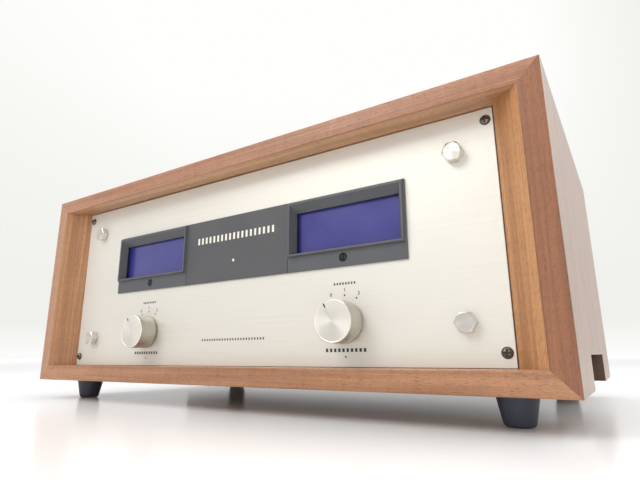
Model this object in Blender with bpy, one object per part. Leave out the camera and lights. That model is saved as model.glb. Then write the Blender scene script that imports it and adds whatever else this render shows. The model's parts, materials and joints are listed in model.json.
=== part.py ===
"""Stereo power amplifier in a walnut sleeve, modelled as separate pieces.

Lengths are in metres. X runs to the right seen from the front, Y runs to the back and Z runs up. The
origin is on the floor, under the middle of the sleeve. Every place is worked out from the named sizes.
"""
import math

import bmesh
import bpy
from mathutils import Matrix, Vector

# Clearances and fineness
GAP = 0.0003
OVERRUN = 0.002
MERGE_DISTANCE = 0.000001
ROUND_STEPS = 16
FINE_STEPS = 32
SMALL_STEPS = 12
HEXAGON_SIDES = 6
SMOOTH_ANGLE = math.radians(40)

# Walnut sleeve
SLEEVE_WIDTH = 0.449
SLEEVE_HEIGHT = 0.1716
SLEEVE_DEPTH = 0.2555
BOARD = 0.0125
NOTCH_START = 0.070
NOTCH_LENGTH = 0.111
NOTCH_HEIGHT = 0.0193
STILE_WIDTH = 0.0159
CLEAT_LAP = 0.0118
CLEAT_DEPTH = 0.022
TOP_SLOT_COUNT = 9
TOP_SLOT_WIDTH = 0.006
TOP_SLOT_LENGTH = 0.084
TOP_SLOT_PITCH = 0.0135
TOP_SLOT_REAR_MARGIN = 0.034
TOP_SLOT_BANK_INSET = 0.104
SLOT_END_STEPS = 3
ROUNDING_STEPS = 2

# Rubber feet with a bonded stud
FOOT_HEIGHT = 0.0162
FOOT_TOP_RADIUS = 0.0111
FOOT_BOTTOM_RADIUS = 0.0079
FOOT_ROUNDING = 0.0020
FOOT_SIDE_INSET = 0.0336
FOOT_FRONT_INSET = 0.0305
FOOT_REAR_INSET = 0.0225
FOOT_RECESS_RADIUS = 0.0036
FOOT_RECESS_DEPTH = 0.0050
FOOT_STUD_RADIUS = 0.0020
FOOT_STUD_BITE = 0.009

# Front panel and its fasteners
PANEL_RECESS = 0.017
PANEL_THICKNESS = 0.0032
BOLT_INSET = 0.0239
BOLT_ACROSS_FLATS = 0.0107
BOLT_HEAD_HEIGHT = 0.0050
BOLT_CHAMFER = 0.0011
BOLT_RADIUS = 0.0030
BOLT_REACH = 0.016
CORNER_SCREW_SIDE_INSET = 0.0046
CORNER_SCREW_END_INSET = 0.0078
CORNER_SCREW_HEAD_RADIUS = 0.0031
CORNER_SCREW_HEAD_HEIGHT = 0.0016
CORNER_SCREW_DOME = 0.0009
CORNER_SCREW_RADIUS = 0.0017
CORNER_SCREW_BITE = 0.012
CROSS_LENGTH = 0.0040
CROSS_WIDTH = 0.0009
CROSS_DEPTH = 0.0011

# Meters
METER_INSET = 0.09985
BEZEL_WIDTH = 0.0887
BEZEL_HEIGHT = 0.0505
BEZEL_RAISE = 0.0626
BEZEL_PLATE = 0.0010
BAND_HEIGHT = 0.0101
FRAME_RISE = 0.0022
FRAME_LEDGE = 0.0003
FRAME_TAPER = 0.0009
FRAME_RIM = 0.0012
FRAME_ROOT = 0.0006
WINDOW_SIDE_MARGIN = 0.0054
WINDOW_BOTTOM_MARGIN = 0.0029
WINDOW_TOP_MARGIN = 0.0079
WINDOW_DEPTH = 0.0018
LENS_SEAT_DEPTH = 0.0024
LENS_THROAT = 0.0006
LENS_LAP = 0.0012
LENS_THICKNESS = 0.0020
SPIGOT_MARGIN = 0.0020
CENTRE_PLATE_THICKNESS = 0.0010
ADJUSTER_RAISE = 0.0061
ADJUSTER_HEAD_RADIUS = 0.0027
ADJUSTER_HEAD_PROUD = 0.0002
ADJUSTER_HEAD_LENGTH = 0.0024
ADJUSTER_RADIUS = 0.0016
ADJUSTER_REACH = 0.0028
ADJUSTER_SLOT_WIDTH = 0.0008
ADJUSTER_SLOT_DEPTH = 0.0008
PIN_RADIUS = 0.0005
PIN_OFFSET = 0.0011
PIVOT_DROP = 0.0075
ARM_THICKNESS = 0.0008
ARM_WIDTH = 0.0036
ARM_TIP = 0.0014
HUB_RADIUS = 0.0024
STAFF_RADIUS = 0.0008
NEEDLE_LENGTH = 0.039
NEEDLE_TAIL = 0.006
NEEDLE_ROOT_WIDTH = 0.0012
NEEDLE_TIP_WIDTH = 0.0005
NEEDLE_THICKNESS = 0.0005
NEEDLE_HUB_LENGTH = 0.0010
NEEDLE_REST = math.radians(-42)
DIAL_SPACE = 0.0006
DIAL_THICKNESS = 0.0010
DIAL_HOLE_RADIUS = 0.0030
MOVEMENT_RADIUS = 0.0080
MOVEMENT_LENGTH = 0.014
CASE_SIDE_EXTRA = 0.0007
CASE_BELOW_PIVOT = 0.010
CASE_WALL = 0.0016

# Range knobs and switches
KNOB_RAISE = 0.0272
KNOB_RADIUS = 0.0132
KNOB_LENGTH = 0.0150
KNOB_STANDOFF = 0.0010
KNOB_CHAMFER = 0.0007
KNOB_UNDERCUT_RADIUS = 0.0095
KNOB_UNDERCUT_DEPTH = 0.0036
KNOB_BORE_DEPTH = 0.0120
KNOB_REST = math.radians(-30)
INDEX_WIDTH = 0.0010
INDEX_LENGTH = 0.0028
INDEX_EDGE = 0.0008
INDEX_DEPTH = 0.0004
SHAFT_RADIUS = 0.0030
SHAFT_INSIDE = 0.0060
BUSHING_RADIUS = 0.0047
BUSHING_PROUD = 0.0033
BUSHING_NUT_RADIUS = 0.0066
BUSHING_NUT_LENGTH = 0.0020
SWITCH_RADIUS = 0.0130
SWITCH_LENGTH = 0.0160

# Steel chassis
SHEET = 0.0016
CHASSIS_INSET = 0.0135
PAN_DEPTH = 0.184
COVER_DROP = 0.0140
VENT_COUNT = 9
VENT_WIDTH = 0.0045
VENT_LENGTH = 0.040
VENT_PITCH = 0.0135
VENT_BANK_INSET = 0.074
VENT_REAR_MARGIN = 0.022
FLOOR_VENT_FRONT_MARGIN = 0.066

# Heat sinks
CONNECTION_BAY = 0.130
SINK_HEIGHT = 0.118
SINK_BASE = 0.0060
SINK_FIN_COUNT = 11
SINK_FIN_THICKNESS = 0.0022
SINK_FIN_LENGTH = 0.033
SINK_RAISE = 0.007

# Output boards: each carries four power transistors that bear on the rear panel
OUTPUT_BOARD_MARGIN = 0.0065
OUTPUT_BOARD_HEIGHT = 0.100
OUTPUT_BOARD_THICKNESS = 0.0016
OUTPUT_BOARD_SPACE = 0.0070
TRANSISTOR_FLANGE_RADIUS = 0.0130
TRANSISTOR_FLANGE = 0.0016
TRANSISTOR_CAN_RADIUS = 0.0100
JOINT_LAP = 0.0005
BOARD_CAN_RADIUS = 0.0055
BOARD_CAN_LENGTH = 0.014
BOARD_CAN_COUNT = 3
BOARD_CAN_PITCH = 0.024
BOARD_BLOCK_WIDTH = 0.013
BOARD_BLOCK_HEIGHT = 0.006
BOARD_BLOCK_LENGTH = 0.011
BOARD_ROW_RAISE = 0.026

# Power supply
CORE_WIDTH = 0.092
CORE_HEIGHT = 0.086
CORE_STACK = 0.056
CORE_LEG = 0.015
CORE_MIDDLE_LEG = 0.026
CORE_Y = -0.026
WINDING_OVERHANG = 0.015
CAPACITOR_RADIUS = 0.031
CAPACITOR_HEIGHT = 0.100
CAPACITOR_Y = -0.014
CAPACITOR_BEAD = 0.0025
CLAMP_THICKNESS = 0.0020
CLAMP_HEIGHT = 0.014

# Rear fittings
NUT_WALL = 0.0022
NUT_LENGTH = 0.0030
BARREL_INSIDE = 0.0050
JACK_X = 0.020
JACK_RAISE = 0.104
JACK_PLATE_WIDTH = 0.060
JACK_PLATE_HEIGHT = 0.018
JACK_PLATE = 0.0016
JACK_COLLAR_RADIUS = 0.0060
JACK_COLLAR = 0.0030
JACK_BARREL_RADIUS = 0.0040
JACK_LENGTH = 0.0100
JACK_BORE_RADIUS = 0.0016
POST_X = 0.0285
POST_PITCH = 0.01905
POST_RAISE = 0.064
BLOCK_WIDTH = 0.098
BLOCK_HEIGHT = 0.022
BLOCK_THICKNESS = 0.0035
BLOCK_CORNER = 0.003
POST_BASE_RADIUS = 0.0070
POST_BASE = 0.0025
POST_BARREL_RADIUS = 0.0038
POST_STUD_RADIUS = 0.0020
POST_STUD = 0.0150
POST_CAP_RADIUS = 0.0064
POST_CAP = 0.0160
CAP_CHAMFER = 0.0008
MAINS_RAISE = 0.024
MAINS_PLATE_WIDTH = 0.098
MAINS_PLATE_HEIGHT = 0.024
MAINS_PLATE = 0.0025
FUSE_X = -0.032
FUSE_COLLAR_RADIUS = 0.0085
FUSE_COLLAR = 0.0030
FUSE_BARREL_RADIUS = 0.0064
FUSE_BORE_RADIUS = 0.0048
FUSE_INSIDE = 0.030
FUSE_CAP_RADIUS = 0.0072
FUSE_CAP = 0.0070
FUSE_RADIUS = 0.0030
FUSE_END_SPACE = 0.002
GLAND_X = 0.032
GLAND_RADIUS = 0.0088
GLAND_LENGTH = 0.0070
GLAND_BARREL_RADIUS = 0.0060
GLAND_BORE_RADIUS = 0.0036

# Planes and edges that follow from the sizes above
HALF_WIDTH = SLEEVE_WIDTH / 2
INNER_X = HALF_WIDTH - BOARD
BASE_Z = FOOT_HEIGHT + GAP
TOP_Z = BASE_Z + SLEEVE_HEIGHT
INNER_LOW_Z = BASE_Z + BOARD
INNER_TOP_Z = TOP_Z - BOARD
FRONT_Y = -SLEEVE_DEPTH / 2
REAR_Y = SLEEVE_DEPTH / 2
MITRE_GAP = GAP / math.sqrt(2)

PANEL_Y = FRONT_Y + PANEL_RECESS
PANEL_BACK_Y = PANEL_Y + PANEL_THICKNESS
PANEL_HALF = INNER_X - GAP - STILE_WIDTH - GAP
PANEL_LOW_Z = INNER_LOW_Z + GAP
PANEL_TOP_Z = INNER_TOP_Z - GAP

PAN_Y = PANEL_BACK_Y + GAP
PAN_WALL_BACK_Y = PAN_Y + SHEET
PAN_REAR_Y = PAN_Y + PAN_DEPTH
PAN_HALF = PANEL_HALF - CHASSIS_INSET
PAN_TOP_Z = PANEL_TOP_Z - COVER_DROP
FLOOR_Z = PANEL_LOW_Z + SHEET
REAR_PANEL_Y = PAN_REAR_Y + GAP
REAR_FACE_Y = REAR_PANEL_Y + SHEET
VENT_BANK_X = PAN_HALF - VENT_BANK_INSET
SINK_WIDTH = PAN_HALF - CONNECTION_BAY / 2
OUTPUT_BOARD_WIDTH = SINK_WIDTH - 2 * OUTPUT_BOARD_MARGIN
CAPACITOR_X = (CORE_WIDTH / 2 + PAN_HALF - SHEET) / 2

METER_X = PANEL_HALF - METER_INSET
BEZEL_LOW_Z = PANEL_LOW_Z + BEZEL_RAISE
BEZEL_TOP_Z = BEZEL_LOW_Z + BEZEL_HEIGHT
BEZEL_FRONT_Y = PANEL_Y - GAP - BEZEL_PLATE
FRAME_FRONT_Y = BEZEL_FRONT_Y - FRAME_RISE
LENS_Y = PANEL_Y + LENS_SEAT_DEPTH + GAP
ADJUSTER_Z = BEZEL_LOW_Z + ADJUSTER_RAISE
PIVOT_Z = ADJUSTER_Z - PIVOT_DROP
CASE_Y = PAN_WALL_BACK_Y + GAP
ADJUSTER_END_Y = CASE_Y + ADJUSTER_REACH
ARM_Y = ADJUSTER_END_Y + GAP
ARM_BACK_Y = ARM_Y + ARM_THICKNESS
NEEDLE_Y = ARM_BACK_Y + GAP + GAP
NEEDLE_BACK_Y = NEEDLE_Y + NEEDLE_HUB_LENGTH
DIAL_Y = NEEDLE_BACK_Y + DIAL_SPACE
DIAL_BACK_Y = DIAL_Y + DIAL_THICKNESS
MOVEMENT_Y = DIAL_BACK_Y + GAP
CASE_BACK_Y = MOVEMENT_Y + MOVEMENT_LENGTH + CASE_WALL
CASE_LOW_Z = PIVOT_Z - CASE_BELOW_PIVOT

KNOB_Z = PANEL_LOW_Z + KNOB_RAISE
KNOB_BACK_Y = PANEL_Y - KNOB_STANDOFF
KNOB_FACE_Y = KNOB_BACK_Y - KNOB_LENGTH
KNOB_BORE_Y = KNOB_BACK_Y - KNOB_BORE_DEPTH

SIDES = {"left": -1, "right": 1}
ALONG_Y = Vector((0, 1, 0))
ALONG_Z = Vector((0, 0, 1))


def clear_scene():
    """Remove whatever the open file holds."""
    for item in list(bpy.data.objects):
        bpy.data.objects.remove(item, do_unlink=True)


def finish(name, colour, roughness, metallic=0.0):
    """A plain material with one Principled shader."""
    material = bpy.data.materials.new(name)
    material.use_nodes = True
    shader = material.node_tree.nodes["Principled BSDF"]
    shader.inputs["Base Color"].default_value = (*colour, 1)
    shader.inputs["Roughness"].default_value = roughness
    shader.inputs["Metallic"].default_value = metallic
    material.diffuse_color = (*colour, 1)
    return material


def make_finishes():
    """Every material of the amplifier, by name."""
    return {
        "walnut": finish("walnut", (0.42, 0.23, 0.13), 0.55),
        "rubber": finish("rubber", (0.03, 0.035, 0.04), 0.75),
        "panel": finish("brushed_aluminium", (0.80, 0.78, 0.72), 0.38, 1.0),
        "bright": finish("bright_steel", (0.78, 0.77, 0.74), 0.22, 1.0),
        "bronze": finish("dark_bronze", (0.17, 0.11, 0.08), 0.45, 1.0),
        "charcoal": finish("charcoal_plastic", (0.09, 0.095, 0.105), 0.5),
        "lens": finish("blue_lens", (0.07, 0.07, 0.42), 0.12),
        "dial": finish("dial_card", (0.10, 0.12, 0.50), 0.6),
        "needle": finish("needle_black", (0.02, 0.02, 0.02), 0.5),
        "phenolic": finish("black_phenolic", (0.04, 0.035, 0.03), 0.5),
        "steel": finish("plated_steel", (0.60, 0.58, 0.52), 0.42, 1.0),
        "black_paint": finish("black_paint", (0.03, 0.03, 0.032), 0.5),
        "anodised": finish("black_anodised", (0.025, 0.025, 0.027), 0.45, 0.5),
        "copper": finish("copper_winding", (0.55, 0.25, 0.12), 0.4, 0.6),
        "can": finish("capacitor_can", (0.20, 0.24, 0.36), 0.4),
        "board": finish("circuit_board", (0.30, 0.22, 0.08), 0.5),
        "brass": finish("plated_brass", (0.72, 0.56, 0.28), 0.3, 1.0),
        "red": finish("red_plastic", (0.55, 0.03, 0.03), 0.35),
        "black": finish("black_plastic", (0.03, 0.03, 0.03), 0.35),
    }


def box(low, high):
    """A closed box between two corners."""
    shape = bmesh.new()
    middle = [(a + b) / 2 for a, b in zip(low, high)]
    size = [b - a for a, b in zip(low, high)]
    bmesh.ops.create_cube(shape, size=1, matrix=Matrix.LocRotScale(middle, None, size))
    return shape


def prism(outline, axis, start, end):
    """A flat outline pulled along axis 0, 1 or 2; its points lie in the two other axes."""
    shape = bmesh.new()
    corners = []
    for point in outline:
        place = list(point)
        place.insert(axis, start)
        corners.append(shape.verts.new(place))
    base = shape.faces.new(corners)
    pulled = bmesh.ops.extrude_face_region(shape, geom=[base])["geom"]
    shift = [0, 0, 0]
    shift[axis] = end - start
    moved = [item for item in pulled if isinstance(item, bmesh.types.BMVert)]
    bmesh.ops.translate(shape, vec=shift, verts=moved)
    bmesh.ops.recalc_face_normals(shape, faces=shape.faces)
    return shape


def rectangle(section):
    """The corners of a rectangle given as (y, low x, high x, low z, high z)."""
    y, low_x, high_x, low_z, high_z = section
    corners = ((low_x, low_z), (high_x, low_z), (high_x, high_z), (low_x, high_z))
    return [Vector((x, y, z)) for x, z in corners]


def loft(sections):
    """A closed solid that starts as one rectangle and is pulled through each of the next."""
    shape = bmesh.new()
    corners = rectangle(sections[0])
    face = shape.faces.new([shape.verts.new(corner) for corner in corners])
    for section in sections[1:]:
        region = [face, *face.edges, *face.verts]
        pulled = bmesh.ops.extrude_face_region(shape, geom=region)["geom"]
        face = next(item for item in pulled if isinstance(item, bmesh.types.BMFace))
        target = rectangle(section)
        for vert in face.verts:
            nearest = min(range(len(corners)), key=lambda i: (corners[i] - vert.co).length)
            vert.co = target[nearest]
        corners = target
    bmesh.ops.recalc_face_normals(shape, faces=shape.faces)
    return shape


def turned(profile, centre, axis=ALONG_Y, steps=ROUND_STEPS):
    """A profile of (radius, distance along the axis) points spun a full turn."""
    shape = bmesh.new()
    centre = Vector(centre)
    across = Vector((1, 0, 0))
    verts = [shape.verts.new(centre + across * radius + axis * along) for radius, along in profile]
    edges = [shape.edges.new(pair) for pair in zip(verts, verts[1:])]
    bmesh.ops.spin(shape, geom=verts + edges, cent=centre, axis=axis, dvec=(0, 0, 0),
                   angle=math.tau, steps=steps, use_merge=True)
    bmesh.ops.remove_doubles(shape, verts=shape.verts, dist=MERGE_DISTANCE)
    bmesh.ops.recalc_face_normals(shape, faces=shape.faces)
    return shape


def rod(radius, centre, start, end, axis=ALONG_Y, steps=ROUND_STEPS):
    """A plain cylinder from start to end along its axis."""
    return turned([(0, start), (radius, start), (radius, end), (0, end)], centre, axis, steps)


def together(shapes):
    """Several closed shapes in one mesh."""
    whole = bmesh.new()
    for shape in shapes:
        scratch = bpy.data.meshes.new("scratch")
        shape.to_mesh(scratch)
        shape.free()
        whole.from_mesh(scratch)
        bpy.data.meshes.remove(scratch)
    return whole


def axis_point(name, place):
    """An empty on a moving piece's axis."""
    empty = bpy.data.objects.new(name, None)
    empty.location = place
    bpy.context.scene.collection.objects.link(empty)
    return empty


def home(part):
    """Where a piece's own origin lies."""
    return part.location + (part.parent.location if part.parent else Vector((0, 0, 0)))


def add(name, shape, material, origin=(0, 0, 0), parent=None, smooth=False):
    """A named piece, its origin at the given place."""
    bmesh.ops.translate(shape, vec=-Vector(origin), verts=shape.verts)
    mesh = bpy.data.meshes.new(name)
    shape.to_mesh(mesh)
    shape.free()
    if material:
        mesh.materials.append(material)
    if smooth:
        mesh.shade_smooth()
        mesh.set_sharp_from_angle(angle=SMOOTH_ANGLE)
    part = bpy.data.objects.new(name, mesh)
    part.parent = parent
    part.location = Vector(origin) - (parent.location if parent else Vector((0, 0, 0)))
    bpy.context.scene.collection.objects.link(part)
    return part


def combine(part, shape, operation, name):
    """Join a hidden shape to a piece, or cut it away, with a Boolean modifier."""
    origin = home(part)
    guide = add(part.name + "_" + name, shape, None, origin)
    guide.parent = part
    guide.location = (0, 0, 0)
    guide.hide_render = True
    guide.display_type = "WIRE"
    modifier = part.modifiers.new(name, "BOOLEAN")
    modifier.operation = operation
    modifier.solver = "EXACT"
    modifier.object = guide


def cut(part, shape, name="cut"):
    combine(part, shape, "DIFFERENCE", name)


def unite(part, shape, name="union"):
    combine(part, shape, "UNION", name)


def stadium(x, low_y, high_y, width, low_z, high_z):
    """A slot cutter with round ends, along Y."""
    radius = width / 2
    outline = []
    for centre_y, turn in ((high_y - radius, 0), (low_y + radius, math.pi)):
        for step in range(SLOT_END_STEPS + 1):
            angle = turn + math.pi * step / SLOT_END_STEPS
            outline.append((x + radius * math.cos(angle), centre_y + radius * math.sin(angle)))
    return prism(outline, 2, low_z, high_z)


def slot_bank(centre_x, count, pitch, low_y, high_y, width, low_z, high_z):
    """A row of slot cutters side by side, centred on one place."""
    first = centre_x - pitch * (count - 1) / 2
    return [stadium(first + pitch * i, low_y, high_y, width, low_z, high_z) for i in range(count)]


def foot_places():
    """Name and centre of each foot."""
    rows = {"front": FRONT_Y + FOOT_FRONT_INSET, "rear": REAR_Y - FOOT_REAR_INSET}
    places = {}
    for row, y in rows.items():
        for side, sign in SIDES.items():
            places[row + "_" + side] = (sign * (HALF_WIDTH - FOOT_SIDE_INSET), y, 0)
    return places


def four_places(x, inset):
    """Name and place of one fastener near each corner of the panel."""
    heights = {"lower": PANEL_LOW_Z + inset, "upper": PANEL_TOP_Z - inset}
    return {row + "_" + side: (sign * x, 0, z)
            for row, z in heights.items() for side, sign in SIDES.items()}


def bolt_places():
    return four_places(PANEL_HALF - BOLT_INSET, BOLT_INSET)


def corner_screw_places():
    return four_places(PANEL_HALF - CORNER_SCREW_SIDE_INSET, CORNER_SCREW_END_INSET)


def make_sleeve(walnut):
    """Mitred walnut boards, with the splayed and rebated stiles that frame and hold the panel."""
    top = prism([(-HALF_WIDTH + MITRE_GAP, TOP_Z), (HALF_WIDTH - MITRE_GAP, TOP_Z),
                 (INNER_X - MITRE_GAP, INNER_TOP_Z), (-INNER_X + MITRE_GAP, INNER_TOP_Z)],
                1, FRONT_Y, REAR_Y)
    top = add("sleeve_top", top, walnut)
    slot_rear = REAR_Y - TOP_SLOT_REAR_MARGIN
    slots = []
    for sign in SIDES.values():
        slots += slot_bank(sign * (INNER_X - TOP_SLOT_BANK_INSET), TOP_SLOT_COUNT, TOP_SLOT_PITCH,
                           slot_rear - TOP_SLOT_LENGTH, slot_rear, TOP_SLOT_WIDTH,
                           INNER_TOP_Z - OVERRUN, TOP_Z + OVERRUN)
    cut(top, together(slots), "vents")

    rail = [(-HALF_WIDTH + MITRE_GAP, BASE_Z), (HALF_WIDTH - MITRE_GAP, BASE_Z),
            (INNER_X - MITRE_GAP, INNER_LOW_Z), (-INNER_X + MITRE_GAP, INNER_LOW_Z)]
    notch_y = FRONT_Y + NOTCH_START
    notch_back_y = notch_y + NOTCH_LENGTH
    rails = {"front": prism(rail, 1, FRONT_Y, notch_y), "rear": prism(rail, 1, notch_back_y, REAR_Y)}
    for row, shape in rails.items():
        part = add("sleeve_" + row + "_rail", shape, walnut)
        holes = [rod(FOOT_STUD_RADIUS + GAP, place, BASE_Z - OVERRUN, BASE_Z + FOOT_STUD_BITE + GAP,
                     ALONG_Z, SMALL_STEPS)
                 for name, place in foot_places().items() if name.startswith(row)]
        cut(part, together(holes), "stud_holes")

    strip_outer = INNER_X - GAP
    strip_inner = PANEL_HALF + GAP
    cleat_inner = PANEL_HALF - CLEAT_LAP
    for side, sign in SIDES.items():
        board = prism([(sign * HALF_WIDTH, BASE_Z + MITRE_GAP), (sign * HALF_WIDTH, TOP_Z - MITRE_GAP),
                       (sign * INNER_X, INNER_TOP_Z - MITRE_GAP), (sign * INNER_X, INNER_LOW_Z + MITRE_GAP)],
                      1, FRONT_Y, REAR_Y)
        board = add("sleeve_" + side + "_side", board, walnut)
        low_x, high_x = sorted((sign * (INNER_X - OVERRUN), sign * (HALF_WIDTH + OVERRUN)))
        cut(board, box((low_x, notch_y, BASE_Z - OVERRUN), (high_x, notch_back_y, BASE_Z + NOTCH_HEIGHT)),
            "notch")
        stile = prism([(sign * strip_outer, FRONT_Y), (sign * strip_outer, PAN_Y + CLEAT_DEPTH),
                       (sign * cleat_inner, PAN_Y + CLEAT_DEPTH), (sign * cleat_inner, PAN_Y),
                       (sign * strip_inner, PAN_Y), (sign * strip_inner, PANEL_Y)],
                      2, PANEL_LOW_Z, PANEL_TOP_Z)
        stile = add(side + "_splayed_stile", stile, walnut)
        holes = [rod(CORNER_SCREW_RADIUS + GAP, place, PAN_Y - OVERRUN, PAN_Y + CORNER_SCREW_BITE + GAP,
                     steps=SMALL_STEPS)
                 for name, place in corner_screw_places().items() if name.endswith(side)]
        cut(stile, together(holes), "screw_holes")


def make_feet(rubber):
    """Four tapered feet, dished underneath, each with a stud that runs up into a rail."""
    rounding = []
    low_radius = FOOT_BOTTOM_RADIUS - FOOT_ROUNDING
    for step in range(ROUNDING_STEPS + 1):
        angle = math.pi / 2 * step / ROUNDING_STEPS
        rounding.append((low_radius + FOOT_ROUNDING * math.sin(angle),
                         FOOT_ROUNDING * (1 - math.cos(angle))))
    stud_end = BASE_Z + FOOT_STUD_BITE
    profile = [(0, FOOT_RECESS_DEPTH), (FOOT_RECESS_RADIUS, FOOT_RECESS_DEPTH), (FOOT_RECESS_RADIUS, 0)]
    profile += rounding + [(FOOT_TOP_RADIUS, FOOT_HEIGHT), (FOOT_STUD_RADIUS, FOOT_HEIGHT),
                           (FOOT_STUD_RADIUS, stud_end), (0, stud_end)]
    for name, place in foot_places().items():
        add(name + "_foot", turned(profile, place, ALONG_Z), rubber, place, smooth=True)


def spigot_rectangle(sign, extra):
    """The bezel's rear block, grown by some clearance: low x, high x, low z, high z."""
    half = BEZEL_WIDTH / 2 - SPIGOT_MARGIN + extra
    low_z = BEZEL_LOW_Z + SPIGOT_MARGIN - extra
    high_z = BEZEL_TOP_Z - SPIGOT_MARGIN + extra
    return sign * METER_X - half, sign * METER_X + half, low_z, high_z


def front_holes(low_y, high_y, bolts_only=False):
    """Cutters for what passes through the panel and the chassis front."""
    holes = []
    for sign in SIDES.values():
        low_x, high_x, low_z, high_z = spigot_rectangle(sign, GAP)
        holes.append(box((low_x, low_y, low_z), (high_x, high_y, high_z)))
        holes.append(rod(BUSHING_RADIUS + GAP, (sign * METER_X, 0, KNOB_Z), low_y, high_y))
    for place in bolt_places().values():
        holes.append(rod(BOLT_RADIUS + GAP, place, low_y, high_y, steps=SMALL_STEPS))
    if not bolts_only:
        for place in corner_screw_places().values():
            holes.append(rod(CORNER_SCREW_RADIUS + GAP, place, low_y, high_y, steps=SMALL_STEPS))
    return together(holes)


def make_front(finishes):
    """The aluminium panel with its bolts and corner screws, and the plate between the meters."""
    panel = add("front_panel", box((-PANEL_HALF, PANEL_Y, PANEL_LOW_Z),
                                   (PANEL_HALF, PANEL_BACK_Y, PANEL_TOP_Z)), finishes["panel"])
    cut(panel, front_holes(PANEL_Y - OVERRUN, PANEL_BACK_Y + OVERRUN), "openings")

    for name, place in bolt_places().items():
        make_bolt(name, place, finishes["bright"])
    for name, place in corner_screw_places().items():
        make_corner_screw(name, place, finishes["bronze"])

    half = METER_X - BEZEL_WIDTH / 2 - GAP
    plate_back = PANEL_Y - GAP
    add("centre_plate", box((-half, plate_back - CENTRE_PLATE_THICKNESS, BEZEL_LOW_Z),
                            (half, plate_back, BEZEL_TOP_Z)), finishes["charcoal"])


def make_bolt(name, place, bright):
    """A chamfered hexagon bolt through the panel and the chassis front."""
    corner_radius = BOLT_ACROSS_FLATS / math.sqrt(3)
    head_back = PANEL_Y - GAP
    head_front = head_back - BOLT_HEAD_HEIGHT
    head = [(0, head_front), (corner_radius - BOLT_CHAMFER, head_front),
            (corner_radius, head_front + BOLT_CHAMFER / 2), (corner_radius, head_back), (0, head_back)]
    bolt = add(name + "_panel_bolt", turned(head, place, steps=HEXAGON_SIDES), bright)
    shank = rod(BOLT_RADIUS, place, head_back - BOLT_HEAD_HEIGHT / 2, head_back + BOLT_REACH,
                steps=SMALL_STEPS)
    unite(bolt, shank, "shank")


def make_corner_screw(name, place, bronze):
    """A small cross-head screw through the panel into a stile."""
    head_back = PANEL_Y - GAP
    front = head_back - CORNER_SCREW_HEAD_HEIGHT
    flat = CORNER_SCREW_HEAD_RADIUS - CORNER_SCREW_DOME
    end = PAN_Y + CORNER_SCREW_BITE
    profile = [(0, front), (flat, front), (CORNER_SCREW_HEAD_RADIUS, front + CORNER_SCREW_DOME),
               (CORNER_SCREW_HEAD_RADIUS, head_back), (CORNER_SCREW_RADIUS, head_back),
               (CORNER_SCREW_RADIUS, end), (0, end)]
    screw = add(name + "_corner_screw", turned(profile, place, steps=SMALL_STEPS), bronze, smooth=True)
    x, y, z = place
    for slot, half_x, half_z in (("level_slot", CROSS_LENGTH / 2, CROSS_WIDTH / 2),
                                 ("upright_slot", CROSS_WIDTH / 2, CROSS_LENGTH / 2)):
        cross = box((x - half_x, front - OVERRUN, z - half_z), (x + half_x, front + CROSS_DEPTH, z + half_z))
        cut(screw, cross, slot)


def make_bezel(side, sign, charcoal):
    """A moulded bezel: plate, raised frame with a funnel down to the lens, and a block through the panel."""
    x = sign * METER_X
    half = BEZEL_WIDTH / 2
    back = PANEL_Y - GAP
    plate = (x - half, x + half, BEZEL_LOW_Z, BEZEL_TOP_Z)
    spigot = spigot_rectangle(sign, 0)
    body = loft([(PAN_WALL_BACK_Y, *spigot), (back, *spigot), (back, *plate), (BEZEL_FRONT_Y, *plate)])
    bezel = add(side + "_meter_bezel", body, charcoal)

    band_top = BEZEL_LOW_Z + BAND_HEIGHT
    base = (x - half + FRAME_LEDGE, x + half - FRAME_LEDGE, band_top, BEZEL_TOP_Z - FRAME_LEDGE)
    front = (base[0] + FRAME_TAPER, base[1] - FRAME_TAPER, base[2] + FRAME_TAPER, base[3] - FRAME_TAPER)
    frame = loft([(BEZEL_FRONT_Y + FRAME_ROOT, *base), (BEZEL_FRONT_Y, *base), (FRAME_FRONT_Y, *front)])
    unite(bezel, frame, "raised_frame")

    mouth = (front[0] + FRAME_RIM, front[1] - FRAME_RIM, front[2] + FRAME_RIM, front[3] - FRAME_RIM)
    window = window_rectangle(sign, 0)
    funnel = loft([(FRAME_FRONT_Y - OVERRUN, *mouth), (FRAME_FRONT_Y, *mouth),
                   (PANEL_Y + WINDOW_DEPTH, *window),
                   (PANEL_Y + LENS_SEAT_DEPTH + LENS_THROAT, *window)])
    cut(bezel, funnel, "funnel")
    pocket = window_rectangle(sign, LENS_LAP)
    seat = loft([(PANEL_Y + LENS_SEAT_DEPTH, *pocket), (PAN_WALL_BACK_Y + OVERRUN, *pocket)])
    cut(bezel, seat, "lens_pocket")

    step = BEZEL_FRONT_Y - ADJUSTER_HEAD_PROUD + ADJUSTER_HEAD_LENGTH + GAP
    hole = [(0, BEZEL_FRONT_Y - OVERRUN), (ADJUSTER_HEAD_RADIUS + GAP, BEZEL_FRONT_Y - OVERRUN),
            (ADJUSTER_HEAD_RADIUS + GAP, step), (ADJUSTER_RADIUS + GAP, step),
            (ADJUSTER_RADIUS + GAP, PAN_WALL_BACK_Y + OVERRUN), (0, PAN_WALL_BACK_Y + OVERRUN)]
    cut(bezel, turned(hole, (x, 0, ADJUSTER_Z), steps=SMALL_STEPS), "zero_screw_hole")


def window_rectangle(sign, extra):
    """The clear window of a meter, grown by some margin: low x, high x, low z, high z."""
    half = BEZEL_WIDTH / 2 - WINDOW_SIDE_MARGIN + extra
    low_z = BEZEL_LOW_Z + BAND_HEIGHT + WINDOW_BOTTOM_MARGIN - extra
    high_z = BEZEL_TOP_Z - WINDOW_TOP_MARGIN + extra
    return sign * METER_X - half, sign * METER_X + half, low_z, high_z


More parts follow.
